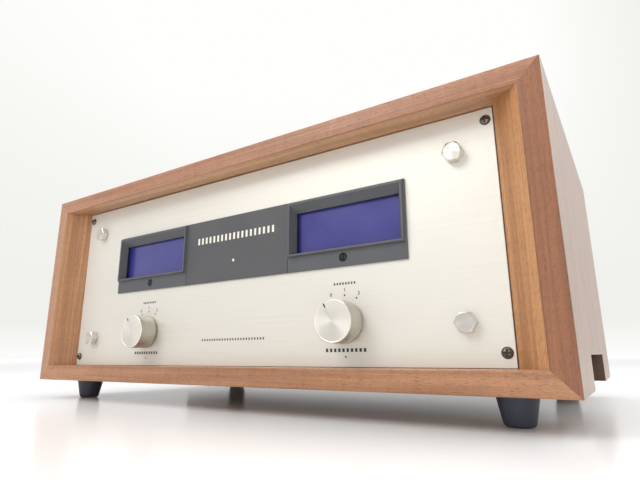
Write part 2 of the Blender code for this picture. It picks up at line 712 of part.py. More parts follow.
def make_zero_adjuster(side, sign, charcoal):
    """A slotted screw whose off-centre pin works the zero arm."""
    x = sign * METER_X
    axis = axis_point(side + "_zero_screw_axis", (x, BEZEL_FRONT_Y, ADJUSTER_Z))
    head_front = BEZEL_FRONT_Y - ADJUSTER_HEAD_PROUD
    head_back = head_front + ADJUSTER_HEAD_LENGTH
    screw = [(0, head_front), (ADJUSTER_HEAD_RADIUS, head_front), (ADJUSTER_HEAD_RADIUS, head_back),
             (ADJUSTER_RADIUS, head_back), (ADJUSTER_RADIUS, ADJUSTER_END_Y), (0, ADJUSTER_END_Y)]
    part = add(side + "_zero_adjuster", turned(screw, (x, 0, ADJUSTER_Z), steps=SMALL_STEPS), charcoal,
               axis.location, axis, smooth=True)
    half = ADJUSTER_SLOT_WIDTH / 2
    reach = ADJUSTER_HEAD_RADIUS + OVERRUN
    slot = box((x - half, head_front - OVERRUN, ADJUSTER_Z - reach),
               (x + half, head_front + ADJUSTER_SLOT_DEPTH, ADJUSTER_Z + reach))
    cut(part, slot, "slot")
    pin = rod(PIN_RADIUS, (x, 0, ADJUSTER_Z + PIN_OFFSET), ADJUSTER_END_Y - ADJUSTER_REACH / 2,
              ARM_BACK_Y + GAP, steps=SMALL_STEPS)
    unite(part, pin, "pin")


def make_zero_arm(side, sign, bright):
    """A forked arm on the meter's staff, moved by the zero screw's pin."""
    x = sign * METER_X
    pivot = axis_point(side + "_zero_arm_axis", (x, ARM_Y, PIVOT_Z))
    hub = rod(HUB_RADIUS, (x, 0, PIVOT_Z), ARM_Y, ARM_BACK_Y, steps=ROUND_STEPS)
    part = add(side + "_zero_arm", hub, bright, pivot.location, pivot, smooth=True)
    tip_z = ADJUSTER_Z + PIN_OFFSET + ARM_TIP
    blade = box((x - ARM_WIDTH / 2, ARM_Y, PIVOT_Z), (x + ARM_WIDTH / 2, ARM_BACK_Y, tip_z))
    unite(part, blade, "blade")
    bore = rod(STAFF_RADIUS + GAP, (x, 0, PIVOT_Z), ARM_Y - OVERRUN, ARM_BACK_Y + OVERRUN,
               steps=SMALL_STEPS)
    half = PIN_RADIUS + GAP
    fork = box((x - half, ARM_Y - OVERRUN, ADJUSTER_Z), (x + half, ARM_BACK_Y + OVERRUN, tip_z + OVERRUN))
    cut(part, together([bore, fork]), "bore_and_fork")


def make_needle(side, sign, black):
    """The pointer, drawn upright and turned to its place of rest."""
    x = sign * METER_X
    pivot = axis_point(side + "_needle_axis", (x, NEEDLE_Y, PIVOT_Z))
    hub = rod(HUB_RADIUS, (x, 0, PIVOT_Z), NEEDLE_Y, NEEDLE_BACK_Y)
    part = add(side + "_meter_needle", hub, black, pivot.location, pivot, smooth=True)
    part.rotation_euler.y = NEEDLE_REST
    root = NEEDLE_ROOT_WIDTH / 2
    tip = NEEDLE_TIP_WIDTH / 2
    blade_y = NEEDLE_Y + (NEEDLE_HUB_LENGTH - NEEDLE_THICKNESS) / 2
    outline = [(x - root, PIVOT_Z - NEEDLE_TAIL), (x + root, PIVOT_Z - NEEDLE_TAIL),
               (x + root, PIVOT_Z), (x + tip, PIVOT_Z + NEEDLE_LENGTH),
               (x - tip, PIVOT_Z + NEEDLE_LENGTH), (x - root, PIVOT_Z)]
    unite(part, prism(outline, 1, blade_y, blade_y + NEEDLE_THICKNESS), "blade")
    bore = rod(STAFF_RADIUS + GAP, (x, 0, PIVOT_Z), NEEDLE_Y - OVERRUN, NEEDLE_BACK_Y + OVERRUN,
               steps=SMALL_STEPS)
    cut(part, bore, "bore")


def make_meter(side, sign, finishes):
    """One level meter: bezel, lens, dial, needle, zero adjustment, and the case with its movement."""
    x = sign * METER_X
    make_bezel(side, sign, finishes["charcoal"])
    low_x, high_x, low_z, high_z = window_rectangle(sign, LENS_LAP - GAP)
    add(side + "_meter_lens", box((low_x, LENS_Y, low_z), (high_x, LENS_Y + LENS_THICKNESS, high_z)),
        finishes["lens"])
    make_zero_adjuster(side, sign, finishes["charcoal"])
    make_zero_arm(side, sign, finishes["bright"])
    make_needle(side, sign, finishes["needle"])

    half = BEZEL_WIDTH / 2 + CASE_SIDE_EXTRA
    inner = half - CASE_WALL
    dial = add(side + "_meter_dial",
               box((x - inner + GAP, DIAL_Y, CASE_LOW_Z + CASE_WALL + GAP),
                   (x + inner - GAP, DIAL_BACK_Y, BEZEL_TOP_Z - CASE_WALL - GAP)), finishes["dial"])
    cut(dial, rod(DIAL_HOLE_RADIUS, (x, 0, PIVOT_Z), DIAL_Y - OVERRUN, DIAL_BACK_Y + OVERRUN,
                  steps=SMALL_STEPS), "staff_hole")

    outer = (x - half, x + half, CASE_LOW_Z, BEZEL_TOP_Z)
    hollow = (x - inner, x + inner, CASE_LOW_Z + CASE_WALL, BEZEL_TOP_Z - CASE_WALL)
    floor_y = CASE_BACK_Y - CASE_WALL
    cup = loft([(floor_y, *hollow), (CASE_Y, *hollow), (CASE_Y, *outer), (CASE_BACK_Y, *outer)])
    case = add(side + "_meter_case", cup, finishes["phenolic"])
    staff_y = ARM_Y - GAP
    root_y = floor_y + CASE_WALL / 2
    movement = turned([(0, staff_y), (STAFF_RADIUS, staff_y), (STAFF_RADIUS, MOVEMENT_Y),
                       (MOVEMENT_RADIUS, MOVEMENT_Y), (MOVEMENT_RADIUS, root_y), (0, root_y)],
                      (x, 0, PIVOT_Z), steps=SMALL_STEPS)
    unite(case, movement, "movement")


def make_range_control(side, sign, finishes):
    """A range knob with its shaft, and the rotary switch with its bushing and nut that carries them."""
    centre = (sign * METER_X, 0, KNOB_Z)
    axis = axis_point(side + "_knob_axis", (sign * METER_X, KNOB_FACE_Y, KNOB_Z))
    rim = KNOB_RADIUS - KNOB_CHAMFER
    undercut_y = KNOB_BACK_Y - KNOB_UNDERCUT_DEPTH
    bore = SHAFT_RADIUS + GAP
    profile = [(0, KNOB_FACE_Y), (rim, KNOB_FACE_Y), (KNOB_RADIUS, KNOB_FACE_Y + KNOB_CHAMFER),
               (KNOB_RADIUS, KNOB_BACK_Y), (KNOB_UNDERCUT_RADIUS, KNOB_BACK_Y),
               (KNOB_UNDERCUT_RADIUS, undercut_y), (bore, undercut_y), (bore, KNOB_BORE_Y), (0, KNOB_BORE_Y)]
    knob = add(side + "_range_knob", turned(profile, centre, steps=FINE_STEPS), finishes["panel"],
               axis.location, axis, smooth=True)
    knob.rotation_euler.y = KNOB_REST
    x, y, z = centre
    top = z + KNOB_RADIUS - INDEX_EDGE
    index = box((x - INDEX_WIDTH / 2, KNOB_FACE_Y - OVERRUN, top - INDEX_LENGTH),
                (x + INDEX_WIDTH / 2, KNOB_FACE_Y + INDEX_DEPTH, top))
    cut(knob, index, "index_mark")

    shaft_end = CASE_Y + SHAFT_INSIDE
    shaft = rod(SHAFT_RADIUS, centre, KNOB_BORE_Y + GAP, shaft_end, steps=SMALL_STEPS)
    add(side + "_range_shaft", shaft, finishes["bright"], axis.location, axis, smooth=True)

    bushing_front = PANEL_Y - BUSHING_PROUD
    body_back = CASE_Y + SWITCH_LENGTH
    nut_back = PANEL_Y - GAP
    nut_front = nut_back - BUSHING_NUT_LENGTH
    body = turned([(0, shaft_end + GAP), (bore, shaft_end + GAP), (bore, bushing_front),
                   (BUSHING_RADIUS, bushing_front), (BUSHING_RADIUS, nut_front),
                   (BUSHING_NUT_RADIUS, nut_front), (BUSHING_NUT_RADIUS, nut_back),
                   (BUSHING_RADIUS, nut_back), (BUSHING_RADIUS, CASE_Y), (SWITCH_RADIUS, CASE_Y),
                   (SWITCH_RADIUS, body_back), (0, body_back)], centre)
    add(side + "_range_switch", body, finishes["phenolic"], smooth=True)


def make_chassis(finishes):
    """A steel pan, its slotted cover and the rear panel."""
    pan = add("chassis_pan", box((-PAN_HALF, PAN_Y, PANEL_LOW_Z), (PAN_HALF, PAN_REAR_Y, PAN_TOP_Z)),
              finishes["steel"])
    cut(pan, box((-PAN_HALF + SHEET, PAN_WALL_BACK_Y, FLOOR_Z),
                 (PAN_HALF - SHEET, PAN_REAR_Y + OVERRUN, PAN_TOP_Z + OVERRUN)), "inside")
    cut(pan, front_holes(PAN_Y - OVERRUN, PAN_WALL_BACK_Y + OVERRUN, bolts_only=True), "front_openings")
    vent_y = PAN_Y + FLOOR_VENT_FRONT_MARGIN
    vents = []
    for sign in SIDES.values():
        vents += slot_bank(sign * VENT_BANK_X, VENT_COUNT, VENT_PITCH, vent_y, vent_y + VENT_LENGTH,
                           VENT_WIDTH, PANEL_LOW_Z - OVERRUN, FLOOR_Z + OVERRUN)
    cut(pan, together(vents), "floor_vents")

    low = PAN_TOP_Z + GAP
    cover = add("top_cover", box((-PAN_HALF, PAN_Y, low), (PAN_HALF, REAR_FACE_Y, low + SHEET)),
                finishes["steel"])
    vent_rear = PAN_REAR_Y - VENT_REAR_MARGIN
    vents = []
    for sign in SIDES.values():
        vents += slot_bank(sign * VENT_BANK_X, VENT_COUNT, VENT_PITCH, vent_rear - VENT_LENGTH, vent_rear,
                           VENT_WIDTH, low - OVERRUN, low + SHEET + OVERRUN)
    cut(cover, together(vents), "vents")

    rear = add("rear_panel", box((-PAN_HALF, REAR_PANEL_Y, PANEL_LOW_Z), (PAN_HALF, REAR_FACE_Y, PAN_TOP_Z)),
               finishes["black_paint"])
    holes = [(JACK_BARREL_RADIUS, place) for place in jack_places()]
    holes += [(POST_BARREL_RADIUS, place) for place in post_places().values()]
    holes += [(FUSE_BARREL_RADIUS, mains_place(FUSE_X)), (GLAND_BARREL_RADIUS, mains_place(GLAND_X))]
    cutters = [rod(radius + GAP, place, REAR_PANEL_Y - OVERRUN, REAR_FACE_Y + OVERRUN)
               for radius, place in holes]
    cut(rear, together(cutters), "fitting_holes")


def make_heat_sink(side, sign, anodised):
    """A heat sink with upright fins, on the outside of the rear panel."""
    base_y = REAR_FACE_Y + GAP
    fin_y = base_y + SINK_BASE
    tip_y = fin_y + SINK_FIN_LENGTH
    pitch = (SINK_WIDTH - SINK_FIN_THICKNESS) / (SINK_FIN_COUNT - 1)
    low_x = min(sign * PAN_HALF, sign * (PAN_HALF - SINK_WIDTH))
    outline = [(low_x + SINK_WIDTH, base_y), (low_x, base_y)]
    for fin in range(SINK_FIN_COUNT):
        x = low_x + pitch * fin
        outline += [(x, fin_y), (x, tip_y), (x + SINK_FIN_THICKNESS, tip_y), (x + SINK_FIN_THICKNESS, fin_y)]
    outline.pop()
    outline.pop(2)
    low_z = PANEL_LOW_Z + SINK_RAISE
    add(side + "_heat_sink", prism(outline, 2, low_z, low_z + SINK_HEIGHT), anodised)


def make_output_board(side, sign, board_finish):
    """An upright board with four power transistors that bear on the rear panel behind the heat sink."""
    centre_x = sign * (PAN_HALF - SINK_WIDTH / 2)
    centre_z = PANEL_LOW_Z + SINK_RAISE + SINK_HEIGHT / 2
    back_y = PAN_REAR_Y - OUTPUT_BOARD_SPACE
    front_y = back_y - OUTPUT_BOARD_THICKNESS
    low_z = centre_z - OUTPUT_BOARD_HEIGHT / 2
    board = add(side + "_output_board",
                box((centre_x - OUTPUT_BOARD_WIDTH / 2, front_y, low_z),
                    (centre_x + OUTPUT_BOARD_WIDTH / 2, back_y, low_z + OUTPUT_BOARD_HEIGHT)), board_finish)
    flange_y = PAN_REAR_Y - TRANSISTOR_FLANGE
    root_y = back_y - JOINT_LAP
    profile = [(0, root_y), (TRANSISTOR_CAN_RADIUS, root_y), (TRANSISTOR_CAN_RADIUS, flange_y),
               (TRANSISTOR_FLANGE_RADIUS, flange_y), (TRANSISTOR_FLANGE_RADIUS, PAN_REAR_Y), (0, PAN_REAR_Y)]
    half_x = OUTPUT_BOARD_WIDTH / 4
    half_z = OUTPUT_BOARD_HEIGHT / 4
    cans = [turned(profile, (centre_x + x, 0, centre_z + z), steps=SMALL_STEPS)
            for x in (-half_x, half_x) for z in (-half_z, half_z)]
    unite(board, together(cans), "transistors")
    first = centre_x - BOARD_CAN_PITCH * (BOARD_CAN_COUNT - 1) / 2
    root_y = front_y + JOINT_LAP
    block_low_z = centre_z + BOARD_ROW_RAISE - BOARD_BLOCK_HEIGHT / 2
    block_top_z = block_low_z + BOARD_BLOCK_HEIGHT
    parts = []
    for i in range(BOARD_CAN_COUNT):
        x = first + BOARD_CAN_PITCH * i
        parts.append(rod(BOARD_CAN_RADIUS, (x, 0, centre_z - BOARD_ROW_RAISE), front_y - BOARD_CAN_LENGTH,
                         root_y, steps=SMALL_STEPS))
        parts.append(box((x - BOARD_BLOCK_WIDTH / 2, front_y - BOARD_BLOCK_LENGTH, block_low_z),
                         (x + BOARD_BLOCK_WIDTH / 2, root_y, block_top_z)))
    unite(board, together(parts), "parts")


def make_transformer(finishes):
    """A laminated core with two windows, and the winding round its middle leg."""
    half = CORE_WIDTH / 2
    middle = CORE_MIDDLE_LEG / 2
    low_z = FLOOR_Z + GAP
    top_z = low_z + CORE_HEIGHT
    front_y = CORE_Y - CORE_STACK / 2
    back_y = CORE_Y + CORE_STACK / 2
    core = box((-half, front_y, low_z), (half, back_y, top_z))
    core = add("transformer_core", core, finishes["black_paint"])
    leg_low_z = low_z + CORE_LEG
    leg_top_z = top_z - CORE_LEG
    windows = [box((low_x, front_y - OVERRUN, leg_low_z), (high_x, back_y + OVERRUN, leg_top_z))
               for low_x, high_x in ((-half + CORE_LEG, -middle), (middle, half - CORE_LEG))]
    cut(core, together(windows), "windows")
    reach = half - CORE_LEG - GAP
    winding = box((-reach, front_y - WINDING_OVERHANG, leg_low_z + GAP),
                  (reach, back_y + WINDING_OVERHANG, leg_top_z - GAP))
    winding = add("transformer_winding", winding, finishes["copper"])
    leg = box((-middle - GAP, front_y - GAP, low_z), (middle + GAP, back_y + GAP, top_z))
    cut(winding, leg, "middle_leg")


def make_capacitor(side, sign, can_finish):
    """A filter capacitor standing on the floor of the pan in its clamp."""
    low_z = FLOOR_Z + GAP
    top_z = low_z + CAPACITOR_HEIGHT
    clamp = CAPACITOR_RADIUS + CLAMP_THICKNESS
    profile = [(0, low_z), (clamp, low_z), (clamp, low_z + CLAMP_HEIGHT),
               (CAPACITOR_RADIUS, low_z + CLAMP_HEIGHT), (CAPACITOR_RADIUS, top_z - CAPACITOR_BEAD),
               (CAPACITOR_RADIUS - CAPACITOR_BEAD, top_z), (0, top_z)]
    can = turned(profile, (sign * CAPACITOR_X, CAPACITOR_Y, 0), ALONG_Z)
    add(side + "_filter_capacitor", can, can_finish, smooth=True)


def jack_places():
    """The axes of the two input jacks."""
    return [(sign * JACK_X, 0, PANEL_LOW_Z + JACK_RAISE) for sign in SIDES.values()]


def post_places():
    """Name and axis of the four loudspeaker terminals."""
    places = {}
    for side, sign in SIDES.items():
        for colour, way in (("red", -1), ("black", 1)):
            x = sign * POST_X + way * POST_PITCH / 2
            places[side + "_" + colour] = (x, 0, PANEL_LOW_Z + POST_RAISE)
    return places


def mains_place(x):
    """An axis on the mains plate."""
    return (x, 0, PANEL_LOW_Z + MAINS_RAISE)


def backing_plate(width, height, thickness, centre_z):
    """A plate with cut corners on the outside of the rear panel, centred left to right."""
    half_x = width / 2
    half_z = height / 2
    inner_x = half_x - BLOCK_CORNER
    inner_z = half_z - BLOCK_CORNER
    corners = [(half_x, -inner_z), (half_x, inner_z), (inner_x, half_z), (-inner_x, half_z),
               (-half_x, inner_z), (-half_x, -inner_z), (-inner_x, -half_z), (inner_x, -half_z)]
    outline = [(x, centre_z + z) for x, z in corners]
    low_y = REAR_FACE_Y + GAP
    return prism(outline, 1, low_y, low_y + thickness)


def inside_end(barrel_radius, inside_y):
    """The profile points of a barrel end with its nut, inside the rear panel."""
    nut_back = REAR_PANEL_Y - GAP
    nut_front = nut_back - NUT_LENGTH
    nut_radius = barrel_radius + NUT_WALL
    return [(barrel_radius, inside_y), (barrel_radius, nut_front), (nut_radius, nut_front),
            (nut_radius, nut_back), (barrel_radius, nut_back)]


def make_input_jacks(brass):
    """Two input jacks on one plate."""
    seat = REAR_FACE_Y + GAP
    inside = REAR_PANEL_Y - GAP - NUT_LENGTH - BARREL_INSIDE
    collar_end = seat + JACK_PLATE + JACK_COLLAR
    tip = seat + JACK_LENGTH
    plate = backing_plate(JACK_PLATE_WIDTH, JACK_PLATE_HEIGHT, JACK_PLATE, PANEL_LOW_Z + JACK_RAISE)
    jacks = add("input_jacks", plate, brass)
    profile = [(0, inside)] + inside_end(JACK_BARREL_RADIUS, inside)
    profile += [(JACK_BARREL_RADIUS, seat + JACK_PLATE / 2), (JACK_COLLAR_RADIUS, seat + JACK_PLATE / 2),
                (JACK_COLLAR_RADIUS, collar_end), (JACK_BARREL_RADIUS, collar_end), (JACK_BARREL_RADIUS, tip),
                (JACK_BORE_RADIUS, tip), (JACK_BORE_RADIUS, collar_end), (0, collar_end)]
    unite(jacks, together([turned(profile, place, steps=SMALL_STEPS) for place in jack_places()]), "barrels")


def make_terminals(finishes):
    """Four loudspeaker terminals on one block, each with its screw cap."""
    seat = REAR_FACE_Y + GAP
    inside = REAR_PANEL_Y - GAP - NUT_LENGTH - BARREL_INSIDE
    base_end = seat + BLOCK_THICKNESS + POST_BASE
    stud_end = base_end + POST_STUD
    block = add("terminal_block", backing_plate(BLOCK_WIDTH, BLOCK_HEIGHT, BLOCK_THICKNESS,
                                                PANEL_LOW_Z + POST_RAISE), finishes["phenolic"])
    profile = [(0, inside)] + inside_end(POST_BARREL_RADIUS, inside)
    half_y = seat + BLOCK_THICKNESS / 2
    profile += [(POST_BARREL_RADIUS, half_y), (POST_BASE_RADIUS, half_y), (POST_BASE_RADIUS, base_end),
                (POST_STUD_RADIUS, base_end), (POST_STUD_RADIUS, stud_end), (0, stud_end)]
    posts = [turned(profile, place, steps=SMALL_STEPS) for place in post_places().values()]
    unite(block, together(posts), "posts")

    cap_low = base_end + GAP
    cap_end = cap_low + POST_CAP
    bore = POST_STUD_RADIUS + GAP
    cap = [(0, stud_end + GAP), (bore, stud_end + GAP), (bore, cap_low), (POST_CAP_RADIUS, cap_low),
           (POST_CAP_RADIUS, cap_end - CAP_CHAMFER), (POST_CAP_RADIUS - CAP_CHAMFER, cap_end), (0, cap_end)]
    for name, place in post_places().items():
        axis = axis_point(name + "_terminal_axis", (place[0], cap_low, place[2]))
        colour = name.split("_")[1]
        add(name + "_terminal_cap", turned(cap, place), finishes[colour], axis.location, axis, smooth=True)


def make_mains_plate(finishes):
    """The mains plate with its fuse tube and cord gland, and the fuse with its cap."""
    seat = REAR_FACE_Y + GAP
    plate_end = seat + MAINS_PLATE
    inside = REAR_PANEL_Y - FUSE_INSIDE
    floor_y = inside + FUSE_END_SPACE
    collar_end = plate_end + FUSE_COLLAR
    gland_end = plate_end + GLAND_LENGTH
    gland_inside = REAR_PANEL_Y - GAP - NUT_LENGTH - BARREL_INSIDE
    plate = add("mains_plate", backing_plate(MAINS_PLATE_WIDTH, MAINS_PLATE_HEIGHT, MAINS_PLATE,
                                             PANEL_LOW_Z + MAINS_RAISE), finishes["phenolic"])
    half_y = seat + MAINS_PLATE / 2
    tube = [(0, inside)] + inside_end(FUSE_BARREL_RADIUS, inside)
    tube += [(FUSE_BARREL_RADIUS, half_y), (FUSE_COLLAR_RADIUS, half_y), (FUSE_COLLAR_RADIUS, collar_end),
             (0, collar_end)]
    bush = [(0, gland_inside)] + inside_end(GLAND_BARREL_RADIUS, gland_inside)
    bush += [(GLAND_BARREL_RADIUS, half_y), (GLAND_RADIUS, half_y), (GLAND_BARREL_RADIUS, gland_end),
             (0, gland_end)]
    unite(plate, together([turned(tube, mains_place(FUSE_X)), turned(bush, mains_place(GLAND_X))]), "tubes")
    bores = [rod(FUSE_BORE_RADIUS, mains_place(FUSE_X), floor_y, collar_end + OVERRUN),
             rod(GLAND_BORE_RADIUS, mains_place(GLAND_X), gland_inside - OVERRUN, gland_end + OVERRUN)]
    cut(plate, together(bores), "bores")

    cap_low = collar_end + GAP
    cap_end = cap_low + FUSE_CAP
    skirt = FUSE_BORE_RADIUS - GAP
    cap = [(0, floor_y + GAP), (FUSE_RADIUS, floor_y + GAP), (FUSE_RADIUS, seat), (skirt, seat),
           (skirt, cap_low), (FUSE_CAP_RADIUS, cap_low), (FUSE_CAP_RADIUS, cap_end - CAP_CHAMFER),
           (FUSE_CAP_RADIUS - CAP_CHAMFER, cap_end), (0, cap_end)]
    place = mains_place(FUSE_X)
    axis = axis_point("fuse_axis", (place[0], cap_low, place[2]))
    add("fuse_cap", turned(cap, place), finishes["black"], axis.location, axis, smooth=True)


def main():
    clear_scene()
    finishes = make_finishes()
    make_sleeve(finishes["walnut"])
    make_feet(finishes["rubber"])
    make_front(finishes)
    make_chassis(finishes)
    for side, sign in SIDES.items():
        make_meter(side, sign, finishes)
        make_range_control(side, sign, finishes)
        make_heat_sink(side, sign, finishes["anodised"])
        make_output_board(side, sign, finishes["board"])
        make_capacitor(side, sign, finishes["can"])
    make_transformer(finishes)
    make_input_jacks(finishes["brass"])
    make_terminals(finishes)
    make_mains_plate(finishes)


main()
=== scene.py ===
"""Looks of the stereo power amplifier: fine shapes, finishes, soft studio light and the camera.

Lengths are in metres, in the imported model's frame: X to the right seen from the front, Y to the back, Z up.
"""

import json
import math

import bmesh
import bpy
from mathutils import Matrix, Vector


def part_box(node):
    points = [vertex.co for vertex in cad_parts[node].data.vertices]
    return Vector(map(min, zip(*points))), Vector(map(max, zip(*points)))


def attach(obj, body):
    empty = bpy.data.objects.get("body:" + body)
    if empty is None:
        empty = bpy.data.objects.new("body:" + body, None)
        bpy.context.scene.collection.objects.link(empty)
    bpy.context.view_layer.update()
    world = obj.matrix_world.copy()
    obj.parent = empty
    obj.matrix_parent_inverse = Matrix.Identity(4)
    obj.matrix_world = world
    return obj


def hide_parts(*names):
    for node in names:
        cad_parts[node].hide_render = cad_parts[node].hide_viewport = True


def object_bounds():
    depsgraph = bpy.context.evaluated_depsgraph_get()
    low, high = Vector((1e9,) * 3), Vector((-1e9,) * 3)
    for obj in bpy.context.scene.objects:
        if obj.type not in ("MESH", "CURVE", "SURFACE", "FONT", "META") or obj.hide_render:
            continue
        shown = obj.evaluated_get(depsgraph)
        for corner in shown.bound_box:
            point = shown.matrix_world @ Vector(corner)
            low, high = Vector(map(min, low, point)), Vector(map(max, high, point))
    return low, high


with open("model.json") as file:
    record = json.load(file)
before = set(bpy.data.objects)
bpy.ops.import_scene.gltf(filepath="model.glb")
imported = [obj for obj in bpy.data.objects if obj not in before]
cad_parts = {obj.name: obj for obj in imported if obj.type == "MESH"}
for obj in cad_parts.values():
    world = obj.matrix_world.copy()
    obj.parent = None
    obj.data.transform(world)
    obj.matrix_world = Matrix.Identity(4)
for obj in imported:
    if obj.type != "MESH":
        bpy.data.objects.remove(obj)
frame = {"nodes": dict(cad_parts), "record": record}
cad_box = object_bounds()

SIDES = {"left": -1, "right": 1}
ALONG_Y = Vector((0, 1, 0))
ALONG_Z = Vector((0, 0, 1))
MERGE_DISTANCE = 0.000002
FLAT_ANGLE = math.radians(0.5)
SHARP_ANGLE = math.radians(28)
BEVEL_ANGLE = math.radians(30)
ALIGNED = 0.999
OVERRUN = 0.002
CONTACT = 0.00004
EDGE_STRIP = 0.0005

# Camera
CAMERA_PLACE = Vector((0.24588, -0.37164, 0.03636))
CAMERA_YAW = math.radians(32.868)
CAMERA_PITCH = math.radians(13.697)
CAMERA_ROLL = math.radians(-0.368)
CAMERA_LENS = 26.673
SENSOR_WIDTH = 36
CLIP_START = 0.01

# Sleeve
CORNER_ROUNDING = 0.0007
MITRE_CLOSING = 0.00013
MITRE_TOLERANCE = 0.01
MITRE_LEAST = 0.5
STILE_CLOSING = 0.00027
STILE_ROUNDING = 0.0003
LONG_EDGE = 0.1
TOP_SLOT_COUNT = 9
TOP_SLOT_WIDTH = 0.006
TOP_SLOT_LENGTH = 0.084
TOP_SLOT_PITCH = 0.0135
TOP_SLOT_REAR_MARGIN = 0.034
TOP_SLOT_BANK_X = 0.108
SLOT_END_STEPS = 14
SLOT_CHAMFER = 0.0004

# Front panel
PANEL_TRIM = 0.0006
PANEL_ROUNDING = 0.00025
PLATE_ROUNDING = 0.0002

# Feet
FOOT_BOTTOM_RADIUS = 0.0079
FOOT_ROUNDING = 0.0020
FOOT_SEGMENTS = 5
FOOT_SHOULDER = 0.0009
FOOT_RECESS_RADIUS = 0.0036
FOOT_RECESS_DEPTH = 0.0050

# Bolts and screws
BOLT_ACROSS_FLATS = 0.0107
BOLT_HEAD_HEIGHT = 0.0050
BOLT_CROWN = 0.0004
BOLT_CROWN_ANGLE = math.radians(30)
BOLT_RADIUS = 0.0030
SCREW_RING = 0.0005
SCREW_SHANK = 0.0017
CROSS_LENGTH = 0.0040
CROSS_WIDTH = 0.0011
CROSS_DEPTH = 0.0012
SLOT_WALL_FACING = 0.1

# Meters
BAND_HEIGHT = 0.0101
FRAME_RISE = 0.0022
FRAME_LEDGE = 0.0003
FRAME_TAPER = 0.0009
FRAME_RIM = 0.0012
FRAME_ROOT = 0.0006
BLOCK_MARGIN = 0.0020
BEZEL_ROUNDING = 0.00022
WINDOW_SIDE_MARGIN = 0.0054
WINDOW_BOTTOM_MARGIN = 0.0029
WINDOW_TOP_MARGIN = 0.0079
WINDOW_DEPTH = 0.0018
LENS_SEAT_DEPTH = 0.0024
LENS_THROAT = 0.0006
LENS_LAP = 0.0012
LENS_FACE = 0.0004
ADJUSTER_RAISE = 0.0061
ADJUSTER_RADIUS = 0.0027
ADJUSTER_GAP = 0.0003
ADJUSTER_DEPTH = 0.0025
ADJUSTER_SHANK = 0.0019
ADJUSTER_DISH = 0.0003
ADJUSTER_SINK = 0.0006
ADJUSTER_SHRINK = 0.0003
ADJUSTER_RIM = 0.0006
ADJUSTER_SLOT = 0.0008
ADJUSTER_SLOT_DEPTH = 0.0010
ADJUSTER_PIN = 0.0005
ADJUSTER_PIN_OFFSET = 0.0011
ADJUSTER_PIN_REACH = 0.0014
DIAL_RADIUS = 0.0385
DIAL_SWING = math.radians(42)
DIAL_STEPS = 10
DIAL_TICK = 0.0022
SHORT_TICK_SHARE = 0.6
DIAL_LINE = 0.00045
DIAL_NUMERAL = 0.0036
DIAL_NUMERAL_STEP = 20

# Knobs
KNOB_RADIUS = 0.0132
KNOB_CHAMFER = 0.0004
KNOB_TURN = math.radians(-30)
DETENT_COUNT = 3
DETENT_TURN = math.radians(30)
DETENT_RADIUS = 0.0170
DETENT_DOT_RADIUS = 0.00062
KNOB_FACE_DISH = 0.00012
KNOB_LIP = 0.0006
KNOB_NECK = 0.0016
KNOB_NECK_HEIGHT = 0.0009
KNOB_ROUNDING = 0.00015
KNOB_UNDERCUT_RADIUS = 0.0095
KNOB_UNDERCUT_DEPTH = 0.0036
KNOB_BORE = 0.0033
KNOB_BORE_DEPTH = 0.0120
KNOB_FACET = 0.002
KNOB_SIDE_FACING = 0.3
INDEX_WIDTH = 0.0010
INDEX_LENGTH = 0.0028
INDEX_EDGE = 0.0008
INDEX_DEPTH = 0.0007
INDEX_ROUNDING_SHARE = 0.35
INDEX_SEGMENTS = 4
INLAY_DROP = 0.0002

# Printed marks
MARK_THICKNESS = 0.00006
NUMERAL_SIZE = 0.0032
NUMERAL_WEIGHT = 0.00005
NUMERAL_SPACE = 0.0034
# Rows of bars: how many, their pitch, half width and half height
HEADING_ROW = (8, 0.0021, 0.00055, 0.00075)
LABEL_ROW = (10, 0.0030, 0.00085, 0.00110)
PLATE_ROW = (19, 0.0042, 0.00095, 0.0026)
CENTRE_ROW = (24, 0.0026, 0.00060, 0.00080)
HEADING_RAISE = 0.0245
LABEL_DROP = 0.0170
LABEL_DOT_DROP = 0.0040
PLATE_BARS_RAISE = 0.0340
PLATE_DOT_RAISE = 0.0150
PLATE_DOT_RADIUS = 0.0011
CENTRE_ROW_RAISE = 0.0190

# Heat sinks and rear fittings
SINK_ROUNDING = 0.0004
REAR_GAP = 0.0003
GRIP_CHAMFER = 0.0004
FLUTE_DEPTH = 0.0006
CAP_FLUTES = 16
FUSE_FLUTES = 20
PLATE_CORNER = 0.0030
PLATE_CORNER_SEGMENTS = 6
PLATE_EDGE = 0.0003
BLOCK_THICKNESS = 0.0035
POST_BASE = 0.0025
POST_BASE_RADIUS = 0.0070
POST_BARREL = 0.0038
POST_STUD = 0.0020
CAP_END = 0.0012
JACK_X = 0.020
JACK_PLATE = 0.0016
JACK_COLLAR = 0.0030
JACK_COLLAR_RADIUS = 0.0060
JACK_BARREL = 0.0040
JACK_BORE = 0.0016
MAINS_PLATE = 0.0025
MAINS_X = 0.032
FUSE_BORE = 0.0048
FUSE_BARREL = 0.0064
FUSE_COLLAR = 0.0030
FUSE_COLLAR_RADIUS = 0.0085
FUSE_RADIUS = 0.0030
FUSE_FERRULE = 0.0055
GLAND_RADIUS = 0.0088
GLAND_BARREL = 0.0060
GLAND_BORE = 0.0036
GLAND_LENGTH = 0.0070
GLAND_GROOVE = 0.0007
GLAND_RINGS = 4
REAR_SCREW_RADIUS = 0.0026
REAR_SCREW_HEIGHT = 0.0016
REAR_SCREW_INSET = 0.0035
REAR_SCREW_RISE = 0.0070
REAR_SCREW_END = 0.0210
REAR_SCREW_X = 0.058
SINK_SCREW_SPACE = 0.034
CLAMP_THICKNESS = 0.0020
CLAMP_HEIGHT = 0.014
CAN_BEAD = 0.0025

